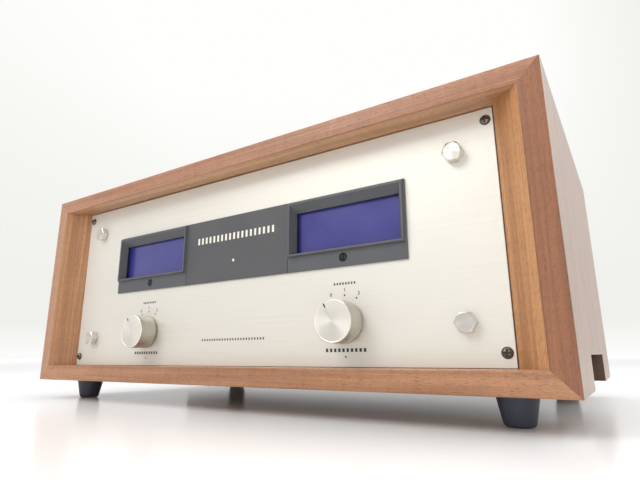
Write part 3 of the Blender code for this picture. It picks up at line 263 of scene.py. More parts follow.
# Round pieces: how many steps a full turn has
ROUND_STEPS = 64
KNOB_STEPS = 112
FITTING_STEPS = 48
SMALL_STEPS = 40
THIN_STEPS = 32
DOT_STEPS = 24
PIN_STEPS = 16
HEXAGON_STEPS = 6
DOME_STEPS = 6
FLUTE_STEPS = 8

# Walnut: ranges, shares and colours of its layers; a grain is a noise's scales, detail and roughness
SWAY_GRAIN = ((3, 9, 9), 2.0)
SWAY_REACH = (0.010, 0.007)
BAND_GRAIN = ((2.5, 95, 95), 3.0, 0.55)
BAND_RANGE = (0.36, 0.64)
BAND_SHARE = 0.62
TONE_RANGE = (0.05, 0.95)
STREAK_GRAIN = ((9, 620, 620), 3.0, 0.6)
STREAK_RANGE = (0.34, 0.66)
FIBRE_GRAIN = ((45, 2600, 2600), 2.0, 0.6)
FIBRE_RANGE = (0.35, 0.75)
FIBRE_SHARE = 0.32
FIBRE_ROUGHNESS = (0.40, 0.52)
FIBRE_HEIGHT = 0.35
PORE_GRAIN = ((360, 3600, 3600), 1.0)
PORE_RANGE = (0.58, 0.70)
PORE_SHARE = 0.55
PORE_COLOUR = (0.06, 0.03, 0.016)
PORE_ROUGHNESS = 0.15
RIPPLE_GRAIN = ((210, 28, 28), 2.0, 0.6)
RIPPLE_LEVELS = (-0.5, 0.5)
WALNUT_RIPPLE = 0.2
WALNUT_WEAR = 0.45
WALNUT_DUST = 0.10
WALNUT_RELIEF = (0.35, 0.0002)
LIPPING_DEPTH = 0.0009
# Front-facing faces in the rear half of the sleeve are mixed towards this near black
DARKENED_FACING = -0.7
DARKENED_SHARE = 0.8
DARKENED_COLOUR = (0.05, 0.024, 0.012)
WORN_WALNUT = (0.62, 0.40, 0.25, 1)

# Other textures: relief is strength and distance, spread is what the roughness varies by
MASK_RANGE = (0.3, 0.7)
BRUSH_RELIEF = (0.12, 0.00003)
BRUSH_SPREAD = (-0.06, 0.08)
FINE_SHARE = 0.6
LINES_SHARE = 0.55
RING_RELIEF = (0.10, 0.00003)
RING_SPREAD = (-0.05, 0.06)
SPECKLE_DISTANCE = 0.00005
SPECKLE_SPREAD = (-0.05, 0.07)
GRAIN_SHARE = 0.4
DUST_FACING = (0.5, 1.0)
DUST_PATCHES = (0.35, 0.75)
WEAR_PATCHES = (0.30, 0.65)
FINE_BRUSH = ((14, 1, 5200), 2.0, 0.7)
WIDE_BRUSH = ((7, 1, 1300), 2.0, 0.6)
BROAD_BRUSH = ((9, 9, 38), 3.0)
TURNING_PITCH = 5200.0
RING_GRAIN = (1.0, 3.0, 0.7)
SPECKLE_DETAIL = (2.0, 0.6)
CLOUD_GRAIN = (34.0, 3.0, 0.55)
DUST_GRAIN = (120.0, 5.0, 0.65)
DUST_COLOUR = (0.55, 0.53, 0.50)
WEAR_GRAIN = (160.0, 4.0, 0.6)
WORN_PLASTIC = (0.30, 0.30, 0.31, 1)

# Studio: ranges over the surround's directions and over the table's reach
DIAGONAL = 0.707
AWAY_RANGE = (-0.6, 0.9)
GLOW_HEIGHT = (0.12, 0.50)
GLOW_RIGHT = (0.10, -0.08)
GLOW_LEFT = (-0.95, -0.70)
GLOW_LEFT_LEVELS = (0.3, 1.0)
FOOT_HEIGHT = (0.06, 0.0)
SURROUND_BACK = (0.90, 0.905, 0.91)
SURROUND_FRONT = (0.48, 0.48, 0.485)
BACKDROP = (0.875, 0.875, 0.84)
BACKDROP_GLOW = (1.0, 1.0, 0.98)
BACKDROP_FOOT = (0.98, 0.98, 0.965)
TABLE_RADIUS = 12
TABLE_STEPS = 96
TABLE_CLOUD = (3.0, 3.0)
TABLE_TONES = ((0.86, 0.86, 0.855), (0.83, 0.83, 0.825))
TABLE_FADE = (0.6, 6.0)
TABLE_FAR_GLOW = (0.32, 0.32, 0.30)
# Each light's name, place, target, size and power
LIGHTS = (
    ("key", (-0.55, -1.15, 1.20), (0, -0.1, 0.1), 0.9, 13),
    ("fill", (0.7, -1.6, 0.2), (0, 0, 0.1), 1.0, 6),
    ("top", (0.1, -0.05, 1.4), (0, 0, 0), 0.7, 9),
    ("side", (1.1, 0.5, 0.8), (0.2, 0, 0), 0.9, 7),
)


def clean_up(shape):
    """Merge doubles and turn the faces outwards."""
    bmesh.ops.remove_doubles(shape, verts=shape.verts, dist=MERGE_DISTANCE)
    bmesh.ops.recalc_face_normals(shape, faces=shape.faces)
    return shape


def copy_of(node):
    """A merged copy of a CAD node's mesh, with its flat faces made whole."""
    shape = bmesh.new()
    shape.from_mesh(frame["nodes"][node].data)
    bmesh.ops.remove_doubles(shape, verts=shape.verts, dist=MERGE_DISTANCE)
    bmesh.ops.dissolve_limit(shape, angle_limit=FLAT_ANGLE, verts=shape.verts, edges=shape.edges)
    return shape


def block(low, high):
    """A closed box between two corners."""
    shape = bmesh.new()
    middle = (Vector(low) + Vector(high)) / 2
    size = Vector(high) - Vector(low)
    bmesh.ops.create_cube(shape, size=1, matrix=Matrix.LocRotScale(middle, None, size))
    return shape


def lathe(profile, centre, axis=ALONG_Y, steps=ROUND_STEPS):
    """A profile of (radius, distance along the axis) points spun a full turn."""
    shape = bmesh.new()
    centre = Vector(centre)
    across = Vector((1, 0, 0))
    verts = [shape.verts.new(centre + across * radius + axis * along) for radius, along in profile]
    edges = [shape.edges.new(pair) for pair in zip(verts, verts[1:])]
    bmesh.ops.spin(shape, geom=verts + edges, cent=centre, axis=axis, dvec=(0, 0, 0),
                   angle=math.tau, steps=steps, use_merge=True)
    return clean_up(shape)


def side_points(start, sides):
    """A lathe profile of straight sides: each is (radius, end), or (radius, end, chamfer at its end)."""
    points = []
    for radius, end, *chamfer in sides:
        points += [(radius, start), (radius, end - sum(chamfer))]
        if chamfer:
            points.append((radius - chamfer[0], end))
        start = end
    return points


def turned(centre, start, *sides, axis=ALONG_Y, steps=ROUND_STEPS):
    """A solid turned from such straight sides, closed at both ends."""
    points = side_points(start, sides)
    return lathe([(0, start), *points, (0, points[-1][1])], centre, axis, steps)


def prism(outline, axis, start, end):
    """A flat outline pulled along axis 0, 1 or 2; its points lie in the two other axes."""
    shape = bmesh.new()
    corners = []
    for point in outline:
        place = list(point)
        place.insert(axis, start)
        corners.append(shape.verts.new(place))
    base = shape.faces.new(corners)
    pulled = bmesh.ops.extrude_face_region(shape, geom=[base])["geom"]
    shift = [0, 0, 0]
    shift[axis] = end - start
    moved = [item for item in pulled if isinstance(item, bmesh.types.BMVert)]
    bmesh.ops.translate(shape, vec=shift, verts=moved)
    bmesh.ops.recalc_face_normals(shape, faces=shape.faces)
    return shape


def rectangle(section):
    """The corners of a rectangle given as (y, low x, high x, low z, high z)."""
    y, low_x, high_x, low_z, high_z = section
    corners = ((low_x, low_z), (high_x, low_z), (high_x, high_z), (low_x, high_z))
    return [Vector((x, y, z)) for x, z in corners]


def loft(sections):
    """A closed solid that starts as one rectangle and is pulled through each of the next."""
    shape = bmesh.new()
    corners = rectangle(sections[0])
    face = shape.faces.new([shape.verts.new(corner) for corner in corners])
    for section in sections[1:]:
        region = [face, *face.edges, *face.verts]
        pulled = bmesh.ops.extrude_face_region(shape, geom=region)["geom"]
        face = next(item for item in pulled if isinstance(item, bmesh.types.BMFace))
        target = rectangle(section)
        for vert in face.verts:
            nearest = min(range(len(corners)), key=lambda i: (corners[i] - vert.co).length)
            vert.co = target[nearest]
        corners = target
    bmesh.ops.recalc_face_normals(shape, faces=shape.faces)
    return shape


def round_edges(shape, width, segments=2, angle=BEVEL_ANGLE, choose=None):
    """Bevel the edges that turn by more than an angle, or only the chosen ones among them."""
    edges = [edge for edge in shape.edges if len(edge.link_faces) == 2
             and edge.calc_face_angle(0) > angle and (choose is None or choose(edge))]
    bmesh.ops.bevel(shape, geom=edges, offset=width, offset_type="OFFSET", segments=segments, profile=0.5,
                    affect="EDGES", clamp_overlap=True, material=-1)
    return shape


def boolean(shape, other, operation):
    """Cut one shape by another, or join them, and return the result."""
    holders = []
    for each in (shape, other):
        mesh = bpy.data.meshes.new("scratch")
        each.to_mesh(mesh)
        each.free()
        holder = bpy.data.objects.new("scratch", mesh)
        bpy.context.scene.collection.objects.link(holder)
        holders.append(holder)
    modifier = holders[0].modifiers.new("boolean", "BOOLEAN")
    modifier.operation = operation
    modifier.solver = "EXACT"
    modifier.object = holders[1]
    bpy.context.view_layer.update()
    made = holders[0].evaluated_get(bpy.context.evaluated_depsgraph_get())
    result = bmesh.new()
    result.from_mesh(made.data)
    for holder in holders:
        mesh = holder.data
        bpy.data.objects.remove(holder)
        bpy.data.meshes.remove(mesh)
    bmesh.ops.remove_doubles(result, verts=result.verts, dist=MERGE_DISTANCE)
    return result


def cut(shape, other):
    return boolean(shape, other, "DIFFERENCE")


def join(shapes):
    """Several closed shapes in one mesh, left as separate bodies."""
    whole = bmesh.new()
    for shape in shapes:
        scratch = bpy.data.meshes.new("scratch")
        shape.to_mesh(scratch)
        shape.free()
        whole.from_mesh(scratch)
        bpy.data.meshes.remove(scratch)
    return whole


def near(value, level):
    return abs(value - level) < CONTACT


def edge_length(edge):
    return (edge.verts[0].co - edge.verts[1].co).length


def along_axis(edge, axis):
    """Whether an edge runs along axis 0, 1 or 2."""
    way = edge.verts[1].co - edge.verts[0].co
    return abs(way[axis]) > ALIGNED * way.length


def middle(node, axis=1):
    """A point on the axis along Y, or along another axis, through a node's middle."""
    low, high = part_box(node)
    point = [(start + end) / 2 for start, end in zip(low, high)]
    point[axis] = 0
    return point


def place_piece(name, shape, finish, node=None, body="amplifier", smooth=False, centre=None, second=None):
    """Make a piece, give it its finish and let it ride on a body, in place of a CAD node where one is named.

    A centre gives each point its distance from an axis along Y, for finishes that follow turning marks.
    A second finish goes on the faces that the shape marks with material index 1.
    """
    mesh = bpy.data.meshes.new(name)
    shape.to_mesh(mesh)
    shape.free()
    for key in filter(None, (finish, second)):
        mesh.materials.append(FINISHES[key])
    mark_edges(mesh)
    if smooth:
        mesh.shade_smooth()
        mesh.set_sharp_from_angle(angle=SHARP_ANGLE)
    if centre is not None:
        turning = mesh.attributes.new("turning", "FLOAT_VECTOR", "POINT")
        for vert, item in zip(mesh.vertices, turning.data):
            offset = vert.co - Vector(centre)
            item.vector = (math.hypot(offset.x, offset.z), offset.y, 0)
    piece = bpy.data.objects.new(name, mesh)
    bpy.context.scene.collection.objects.link(piece)
    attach(piece, body)
    if node:
        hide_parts(node)


def mark_edges(mesh):
    """Give narrow faces, the rounded edges, the value 1 in the attribute that edge wear follows."""
    edge = mesh.attributes.new("edge", "FLOAT", "FACE")
    for polygon, item in zip(mesh.polygons, edge.data):
        corners = [mesh.vertices[index].co for index in polygon.vertices]
        longest = max((first - second).length for first, second in zip(corners, corners[1:] + corners[:1]))
        item.value = float(polygon.area < EDGE_STRIP * longest)


def dress(node, finish):
    """Give a CAD node that keeps its own shape a finish."""
    mesh = frame["nodes"][node].data
    mesh.materials.clear()
    mesh.materials.append(FINISHES[finish])


def socket_name(key):
    return key.replace("_", " ").title().replace("Ior", "IOR")


class Shading:
    """A node tree, with short calls for the nodes that the finishes use."""

    def __init__(self, tree):
        self.tree = tree

    def feed(self, socket, value):
        """Link an output to an input, or set a plain value on it."""
        if isinstance(value, bpy.types.NodeSocket):
            self.tree.links.new(value, socket)
        else:
            socket.default_value = value

    def put(self, kind, feeds=None, **settings):
        """Add a node; feeds maps an input's name or number to a value or another node's output."""
        node = self.tree.nodes.new("ShaderNode" + kind)
        for key, value in settings.items():
            setattr(node, key, value)
        for key, value in (feeds or {}).items():
            self.feed(node.inputs[key], value)
        return node

    def use(self, name, **feeds):
        """Place one of the shared node groups and give its outputs."""
        return self.put("Group", feeds, node_tree=GROUPS[name]).outputs

    def coords(self, kind="Object"):
        return self.put("TexCoord").outputs[kind]

    def normal(self):
        return self.put("NewGeometry").outputs["Normal"]

    def attribute(self, name):
        return self.put("Attribute", attribute_name=name, attribute_type="GEOMETRY").outputs

    def parts(self, vector):
        """The three numbers of a vector."""
        return self.put("SeparateXYZ", {0: vector}).outputs

    def whole(self, feeds):
        """A vector made of numbers."""
        return self.put("CombineXYZ", feeds).outputs[0]

    def mapped(self, vector, **feeds):
        """A vector moved, turned or stretched."""
        return self.put("Mapping", {"Vector": vector, **feeds}).outputs["Vector"]

    def noise(self, vector, scale, detail=2.0, roughness=0.5):
        """The value of a noise texture; three scales stretch it axis by axis."""
        if isinstance(scale, tuple):
            vector, scale = self.mapped(vector, Scale=scale), 1.0
        feeds = {"Vector": vector, "Scale": scale, "Detail": detail, "Roughness": roughness}
        return self.put("TexNoise", feeds).outputs["Fac"]

    def ramp(self, value, start, end, low=0.0, high=1.0):
        """A value spread from one range onto another."""
        feeds = {"Value": value, "From Min": start, "From Max": end, "To Min": low, "To Max": high}
        return self.put("MapRange", feeds, clamp=True).outputs["Result"]

    def around(self, mask, level, spread):
        """A level that a mask varies by a spread."""
        return self.ramp(mask, 0, 1, level + spread[0], level + spread[1])

    def blend(self, share, first, second):
        """Two colours mixed."""
        node = self.put("Mix", {0: share}, data_type="RGBA")
        for number, colour in ((6, first), (7, second)):
            plain = not isinstance(colour, bpy.types.NodeSocket)
            self.feed(node.inputs[number], (*colour, 1) if plain else colour)
        return node.outputs[2]

    def maths(self, operation, first, second):
        return self.put("Math", {0: first, 1: second}, operation=operation).outputs[0]

    def times(self, first, second):
        return self.maths("MULTIPLY", first, second)

    def plus(self, first, second):
        return self.maths("ADD", first, second)

    def weigh(self, first, share, second):
        """Two values mixed, the first with its share of the whole."""
        return self.plus(self.times(first, share), self.times(second, 1 - share))

    def surface(self, bump=None, **sources):
        """Link colours and values to the shader; bump is (height, strength, distance)."""
        for key, source in sources.items():
            self.tree.links.new(source, self.shader.inputs[socket_name(key)])
        if bump:
            node = self.put("Bump", dict(zip(("Height", "Strength", "Distance"), bump)))
            self.tree.links.new(node.outputs["Normal"], self.shader.inputs["Normal"])
        return self.material


def new_group(name, build, **inputs):
    """A node group with named inputs; build gets its nodes and inputs, and gives back its named outputs."""
    group = bpy.data.node_groups.new(name, "ShaderNodeTree")
    for label, kind in inputs.items():
        group.interface.new_socket(label, in_out="INPUT", socket_type="NodeSocket" + kind)
    made = build(Shading(group), group.nodes.new("NodeGroupInput").outputs)
    for label in made:
        kind = "Color" if label == "Color" else "Float"
        group.interface.new_socket(label, in_out="OUTPUT", socket_type="NodeSocket" + kind)
    leave = group.nodes.new("NodeGroupOutput")
    for label, source in made.items():
        group.links.new(source, leave.inputs[label])
    return group


def walnut_figure(nodes, given):
    """Walnut figure with its grain along the vector's X: broad bands, streaks, ripples and pores."""
    vector = given["Vector"]
    sway = nodes.noise(vector, *SWAY_GRAIN)
    bend = nodes.whole({1: nodes.times(sway, SWAY_REACH[0]), 2: nodes.times(sway, SWAY_REACH[1])})
    bent = nodes.put("VectorMath", {0: vector, 1: bend}, operation="ADD").outputs[0]
    bands = nodes.ramp(nodes.noise(bent, *BAND_GRAIN), *BAND_RANGE)
    streaks = nodes.ramp(nodes.noise(bent, *STREAK_GRAIN), *STREAK_RANGE)
    fibres = nodes.noise(bent, *FIBRE_GRAIN)
    pores = nodes.ramp(nodes.noise(bent, *PORE_GRAIN), *PORE_RANGE)
    ripples = nodes.ramp(nodes.noise(vector, *RIPPLE_GRAIN), *MASK_RANGE, *RIPPLE_LEVELS)
    tone = nodes.plus(nodes.times(bands, BAND_SHARE), nodes.times(streaks, given["Streak"]))
    tone = nodes.plus(tone, nodes.times(ripples, given["Ripple"]))
    colour = nodes.blend(nodes.ramp(tone, *TONE_RANGE), given["Light"], given["Dark"])
    colour = nodes.blend(nodes.ramp(fibres, *FIBRE_RANGE, 0.0, FIBRE_SHARE), colour, given["Dark"])
    return {"Color": nodes.blend(nodes.times(pores, PORE_SHARE), colour, PORE_COLOUR),
            "Roughness": nodes.plus(nodes.ramp(fibres, *MASK_RANGE, *FIBRE_ROUGHNESS),
                                    nodes.times(pores, PORE_ROUGHNESS)),
            "Height": nodes.maths("SUBTRACT", nodes.times(fibres, FIBRE_HEIGHT), pores)}


def brush_lines(nodes, given):
    """Straight brush lines: the vector's X runs along them and its Z across."""
    vector = given["Vector"]
    fine = nodes.noise(vector, *FINE_BRUSH)
    wide = nodes.noise(vector, *WIDE_BRUSH)
    return {"Lines": nodes.ramp(nodes.weigh(fine, FINE_SHARE, wide), *MASK_RANGE),
            "Broad": nodes.noise(vector, *BROAD_BRUSH)}


def turning_marks(nodes, given):
    """Turning marks: rings that follow the piece's own distance from its axis."""
    reach, along, _ = nodes.parts(nodes.attribute("turning")["Vector"])
    line = nodes.whole({0: nodes.times(nodes.plus(reach, along), given["Pitch"])})
    return {"Rings": nodes.ramp(nodes.noise(line, *RING_GRAIN), *MASK_RANGE)}


def speckle(nodes, given):
    """A fine moulded or sprayed texture, with slow changes of tone over it."""
    grain = nodes.noise(given["Vector"], given["Scale"], *SPECKLE_DETAIL)
    cloud = nodes.noise(given["Vector"], *CLOUD_GRAIN)
    return {"Grain": nodes.ramp(grain, *MASK_RANGE), "Cloud": nodes.ramp(cloud, *MASK_RANGE)}


def dust_layer(nodes, given):
    """Thin dust that lies in patches on what faces up."""
    lying = nodes.ramp(nodes.parts(nodes.normal())[2], *DUST_FACING)
    patchy = nodes.ramp(nodes.noise(nodes.coords(), *DUST_GRAIN), *DUST_PATCHES)
    share = nodes.times(nodes.times(lying, patchy), given["Amount"])
    return {"Color": nodes.blend(share, given["Color"], DUST_COLOUR)}


def edge_wear(nodes, given):
    """Edges rubbed lighter in patches, where the piece's own edge attribute says so."""
    patchy = nodes.ramp(nodes.noise(nodes.coords(), *WEAR_GRAIN), *WEAR_PATCHES)
    share = nodes.times(nodes.times(nodes.attribute("edge")["Fac"], patchy), given["Amount"])
    return {"Color": nodes.blend(share, given["Color"], given["Worn"])}


GROUPS = {
    "walnut": new_group("walnut_figure", walnut_figure, Vector="Vector", Light="Color", Dark="Color",
                        Streak="Float", Ripple="Float"),
    "brushed": new_group("brush_lines", brush_lines, Vector="Vector"),
    "turned": new_group("turning_marks", turning_marks, Pitch="Float"),
    "speckle": new_group("speckle", speckle, Vector="Vector", Scale="Float"),
    "dust": new_group("dust", dust_layer, Color="Color", Amount="Float"),
    "wear": new_group("edge_wear", edge_wear, Color="Color", Worn="Color", Amount="Float"),
}


def new_material(name, **values):
    """The nodes of a new material with one Principled shader, its plain values set on their own sockets."""
    material = bpy.data.materials.new(name)
    material.use_nodes = True
    nodes = Shading(material.node_tree)
    nodes.material = material
    nodes.shader = material.node_tree.nodes["Principled BSDF"]
    for key, value in values.items():
        nodes.shader.inputs[socket_name(key)].default_value = value
    return nodes


def walnut(name, grain, board, lipping, offset, streak=0.5, coat=0.2):
    """Oiled walnut; grain is the axis along the board, and the front edge is a lipping of its own tone."""
    nodes = new_material(name, coat_weight=coat, coat_roughness=0.28, specular_ior_level=0.45)
    x, y, z = nodes.parts(nodes.coords())
    along, across = (x, z) if grain == "X" else (z, x)
    vector = nodes.mapped(nodes.whole({0: along, 1: y, 2: across}), Location=offset)
    front = nodes.maths("LESS_THAN", y, cad_box[0].y + LIPPING_DEPTH)
    light, dark = (nodes.blend(front, plain, edge) for plain, edge in zip(board, lipping))
    figure = nodes.use("walnut", Vector=vector, Light=light, Dark=dark, Streak=streak, Ripple=WALNUT_RIPPLE)
    # Faces that face the front and lie in the rear half, such as inside the notches, are mixed towards near
    # black
    facing = nodes.maths("LESS_THAN", nodes.parts(nodes.normal())[1], DARKENED_FACING)
    darkened = nodes.times(facing, nodes.maths("GREATER_THAN", y, 0.0))
    colour = nodes.blend(nodes.times(darkened, DARKENED_SHARE), figure["Color"], DARKENED_COLOUR)
    worn = nodes.use("wear", Color=colour, Worn=WORN_WALNUT, Amount=WALNUT_WEAR)
    dust = nodes.use("dust", Color=worn["Color"], Amount=WALNUT_DUST)
    return nodes.surface((figure["Height"], *WALNUT_RELIEF), base_color=dust["Color"],
                         roughness=figure["Roughness"])


def brushed_metal(name, colour, shade, roughness, metallic=1.0, turn=(0, 0, 0)):
    """Metal brushed along X, or along another axis after a turn."""
    nodes = new_material(name, metallic=metallic)
    brushed = nodes.use("brushed", Vector=nodes.mapped(nodes.coords(), Rotation=turn))
    lines = brushed["Lines"]
    tone = nodes.weigh(lines, LINES_SHARE, brushed["Broad"])
    return nodes.surface((lines, *BRUSH_RELIEF), base_color=nodes.blend(tone, colour, shade),
                         roughness=nodes.around(lines, roughness, BRUSH_SPREAD))


def turned_metal(name, colour, shade, roughness):
    """Metal with fine turning marks."""
    nodes = new_material(name, metallic=1.0, anisotropic=0.6)
    rings = nodes.use("turned", Pitch=TURNING_PITCH)["Rings"]
    return nodes.surface((rings, *RING_RELIEF), base_color=nodes.blend(rings, colour, shade),
                         roughness=nodes.around(rings, roughness, RING_SPREAD),
                         tangent=nodes.put("Tangent", direction_type="RADIAL", axis="Y").outputs[0])


def speckled(name, colour, shade, roughness, scale=3000.0, strength=0.15, dust=0.0, wear=0.0, **values):
    """Moulded plastic, rubber or paint: a fine texture, tone that drifts slowly, and a little dust."""
    nodes = new_material(name, **values)
    texture = nodes.use("speckle", Vector=nodes.coords(), Scale=scale)
    colour = nodes.blend(nodes.weigh(texture["Grain"], GRAIN_SHARE, texture["Cloud"]), colour, shade)
    if wear:
        colour = nodes.use("wear", Color=colour, Worn=WORN_PLASTIC, Amount=wear)["Color"]
    if dust:
        colour = nodes.use("dust", Color=colour, Amount=dust)["Color"]
    return nodes.surface((texture["Grain"], strength, SPECKLE_DISTANCE), base_color=colour,
                         roughness=nodes.around(texture["Cloud"], roughness, SPECKLE_SPREAD))


# The light and the dark tone of each part of the walnut; the side boards and the right side's front edge take
# darker copies of it, painted shade
RIM = ((0.48, 0.24, 0.122), (0.30, 0.125, 0.056))
TOP_RIM = ((0.47, 0.24, 0.145), (0.30, 0.125, 0.056))
SHADED_RIGHT_RIM = ((0.34, 0.125, 0.046), (0.187, 0.062, 0.022))
BOARD = ((0.60, 0.345, 0.18), (0.35, 0.17, 0.082))
SHADED_SIDE_BOARD = ((0.43, 0.248, 0.13), (0.25, 0.122, 0.059))
STILE = ((0.56, 0.275, 0.115), (0.355, 0.155, 0.059))

# Every finish: the function of its kind with its material's name, its tones and its own values
FINISHES = {
    "top": walnut("walnut_top", "X", BOARD, TOP_RIM, (0.31, 0.0, 0.0)),
    "rail": walnut("walnut_rails", "X", BOARD, RIM, (1.7, 0.4, 0.0)),
    # The side boards take darker walnut tones and the right side's front edge darker still: painted shade
    "left_side": walnut("walnut_left_side", "Z", SHADED_SIDE_BOARD, RIM, (2.9, 0.1, 0.3), coat=0.7),
    "right_side": walnut("walnut_right_side", "Z", SHADED_SIDE_BOARD, SHADED_RIGHT_RIM, (4.1, 0.7, 0.1), coat=0.7),
    "stile": walnut("walnut_stiles", "Z", STILE, STILE, (6.3, 0.2, 0.9), streak=0.7),
    "rubber": speckled("foot_rubber", (0.036, 0.041, 0.064), (0.054, 0.061, 0.092), 0.50, 2200.0, 0.3,
                       dust=0.1),
    "panel": brushed_metal("brushed_panel", (0.80, 0.77, 0.70), (0.70, 0.67, 0.60), 0.46, 0.5),
    # The knob's face takes the bright spun tone and its sides a darker copy of equal roughness: painted
    # highlight on the face, painted shade on the sides
    "spun": turned_metal("spun_aluminium", (0.90, 0.86, 0.78), (0.80, 0.76, 0.68), 0.34),
    "satin": turned_metal("shaded_knob_side_aluminium", (0.61, 0.58, 0.52), (0.50, 0.47, 0.42), 0.34),
    "bolt": turned_metal("plated_bolts", (0.78, 0.75, 0.68), (0.62, 0.59, 0.53), 0.30),
    "bright": speckled("bright_steel", (0.62, 0.61, 0.58), (0.5, 0.49, 0.46), 0.3, metallic=1.0),
    "bronze": speckled("dark_bronze", (0.16, 0.12, 0.10), (0.26, 0.20, 0.17), 0.34, 1800.0, metallic=0.9),
    "charcoal": speckled("charcoal_plastic", (0.075, 0.078, 0.086), (0.095, 0.098, 0.106), 0.46, 2600.0,
                         0.12, dust=0.12, wear=0.25),
    "plate": speckled("charcoal_plate", (0.067, 0.067, 0.071), (0.086, 0.086, 0.091), 0.5, 3200.0, 0.08),
    # A near-black block behind the lens face: painted shade in the meter's throat
    "liner": speckled("lens_liner", (0.010, 0.010, 0.014), (0.018, 0.018, 0.024), 0.5),
    "adjuster": speckled("zero_screw_plastic", (0.016, 0.017, 0.021), (0.028, 0.029, 0.034), 0.22),
    "white": speckled("white_plastic", (0.72, 0.70, 0.65), (0.66, 0.64, 0.58), 0.3),
    "glass": speckled("fuse_glass", (0.85, 0.88, 0.86), (0.80, 0.84, 0.82), 0.05, 30.0, 0.0,
                      transmission_weight=0.9),
    "cream": speckled("cream_foil", (0.85, 0.82, 0.70), (0.78, 0.74, 0.62), 0.35),
    # Dark ink for printed marks, also painted shade inside the corner screws' slots
    "ink": speckled("dark_ink_and_slot_shade", (0.035, 0.034, 0.032), (0.06, 0.058, 0.055), 0.5),
    "lens": speckled("blue_lens", (0.018, 0.016, 0.20), (0.040, 0.036, 0.26), 0.20, 26.0, 0.02,
                     coat_weight=1.0, coat_roughness=0.22, transmission_weight=0.1),
    "dial": speckled("dial_card", (0.10, 0.12, 0.50), (0.13, 0.15, 0.55), 0.6),
    "scale": speckled("scale_print", (0.75, 0.78, 0.85), (0.68, 0.70, 0.80), 0.5),
    "needle": speckled("needle_black", (0.02, 0.02, 0.02), (0.03, 0.03, 0.03), 0.4),
    "phenolic": speckled("black_phenolic", (0.03, 0.028, 0.026), (0.05, 0.045, 0.04), 0.38, 1500.0),
    "steel": brushed_metal("plated_steel", (0.60, 0.57, 0.47), (0.44, 0.41, 0.33), 0.36),
    "black_paint": speckled("black_paint", (0.022, 0.022, 0.024), (0.032, 0.032, 0.034), 0.42, 1500.0, 0.3),
    "anodised": brushed_metal("black_anodised", (0.035, 0.035, 0.038), (0.02, 0.02, 0.022), 0.42,
                              0.6, (0, math.radians(90), 0)),
    "copper": speckled("winding_wrap", (0.42, 0.20, 0.09), (0.52, 0.27, 0.12), 0.35, coat_weight=0.4),
    "can": speckled("capacitor_sleeve", (0.12, 0.16, 0.30), (0.15, 0.19, 0.34), 0.28, coat_weight=0.3),
    "board": speckled("circuit_board", (0.24, 0.16, 0.05), (0.30, 0.21, 0.08), 0.4, coat_weight=0.3),
    "brass": turned_metal("plated_brass", (0.80, 0.76, 0.66), (0.66, 0.60, 0.50), 0.22),
    "red": speckled("red_plastic", (0.42, 0.018, 0.016), (0.50, 0.03, 0.026), 0.28, coat_weight=0.2),
    "black": speckled("black_plastic", (0.018, 0.018, 0.02), (0.03, 0.03, 0.032), 0.28, coat_weight=0.2),
}

# The frame's material slot that goes with each finish of a new piece; nothing in this script reads this table
SLOTS = {
    "rubber": "foot_rubber", "panel": "brushed_aluminium", "spun": "spun_aluminium", "bolt": "bright_steel",
    "bright": "bright_steel", "bronze": "dark_bronze", "lens": "blue_lens", "scale": "dial_card",
    "ink": "black_plastic", "black": "black_plastic", "red": "red_plastic", "phenolic": "phenolic",
    "anodised": "black_anodised", "can": "capacitor_sleeve",
    **dict.fromkeys(("top", "rail", "left_side", "right_side", "stile"), "walnut"),
    **dict.fromkeys(("charcoal", "plate", "liner", "adjuster", "cream"), "charcoal_plastic"),
    **dict.fromkeys(("brass", "white", "glass"), "plated_brass"),
}


def close_mitres(shape):
    """Move the slanting end faces of a board out by a little, so that the corner joints close."""
    for face in shape.faces:
        normal = face.normal
        if abs(abs(normal.x) - abs(normal.z)) < MITRE_TOLERANCE and abs(normal.x) > MITRE_LEAST:
            bmesh.ops.translate(shape, vec=normal * MITRE_CLOSING, verts=face.verts)


def stadium(x, low_y, high_y, width, low_z, high_z):
    """A slot cutter with round ends, along Y."""
    radius = width / 2
    outline = []
    for centre_y, turn in ((high_y - radius, 0), (low_y + radius, math.pi)):
        for step in range(SLOT_END_STEPS + 1):
            angle = turn + math.pi * step / SLOT_END_STEPS
            outline.append((x + radius * math.cos(angle), centre_y + radius * math.sin(angle)))
    return prism(outline, 2, low_z, high_z)


def make_board(part, finish, choose):
    """A board of the sleeve with close mitres and softened edges."""
    board = copy_of("sleeve_" + part)
    close_mitres(board)
    round_edges(board, CORNER_ROUNDING, choose=choose)
    place_piece("walnut_" + part, board, finish, "sleeve_" + part)


def make_top_board():
    """The top board, with its slots and their small chamfer."""
    low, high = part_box("sleeve_top")
    half_under = high.x - (high.z - low.z)
    top = prism([(-high.x, high.z), (high.x, high.z), (half_under, low.z), (-half_under, low.z)],
                1, low.y, high.y)
    close_mitres(top)
    rear = high.y - TOP_SLOT_REAR_MARGIN
    slots = []
    for sign in SIDES.values():
        first = sign * TOP_SLOT_BANK_X - TOP_SLOT_PITCH * (TOP_SLOT_COUNT - 1) / 2
        slots += [stadium(first + TOP_SLOT_PITCH * i, rear - TOP_SLOT_LENGTH, rear, TOP_SLOT_WIDTH,
                          low.z - OVERRUN, high.z + OVERRUN) for i in range(TOP_SLOT_COUNT)]
    top = cut(top, join(slots))
    round_edges(top, SLOT_CHAMFER, 1, choose=lambda edge: on_slot(edge, low, high))
    round_edges(top, CORNER_ROUNDING, choose=lambda edge: along_axis(edge, 0))
    place_piece("walnut_top", top, "top", "sleeve_top")


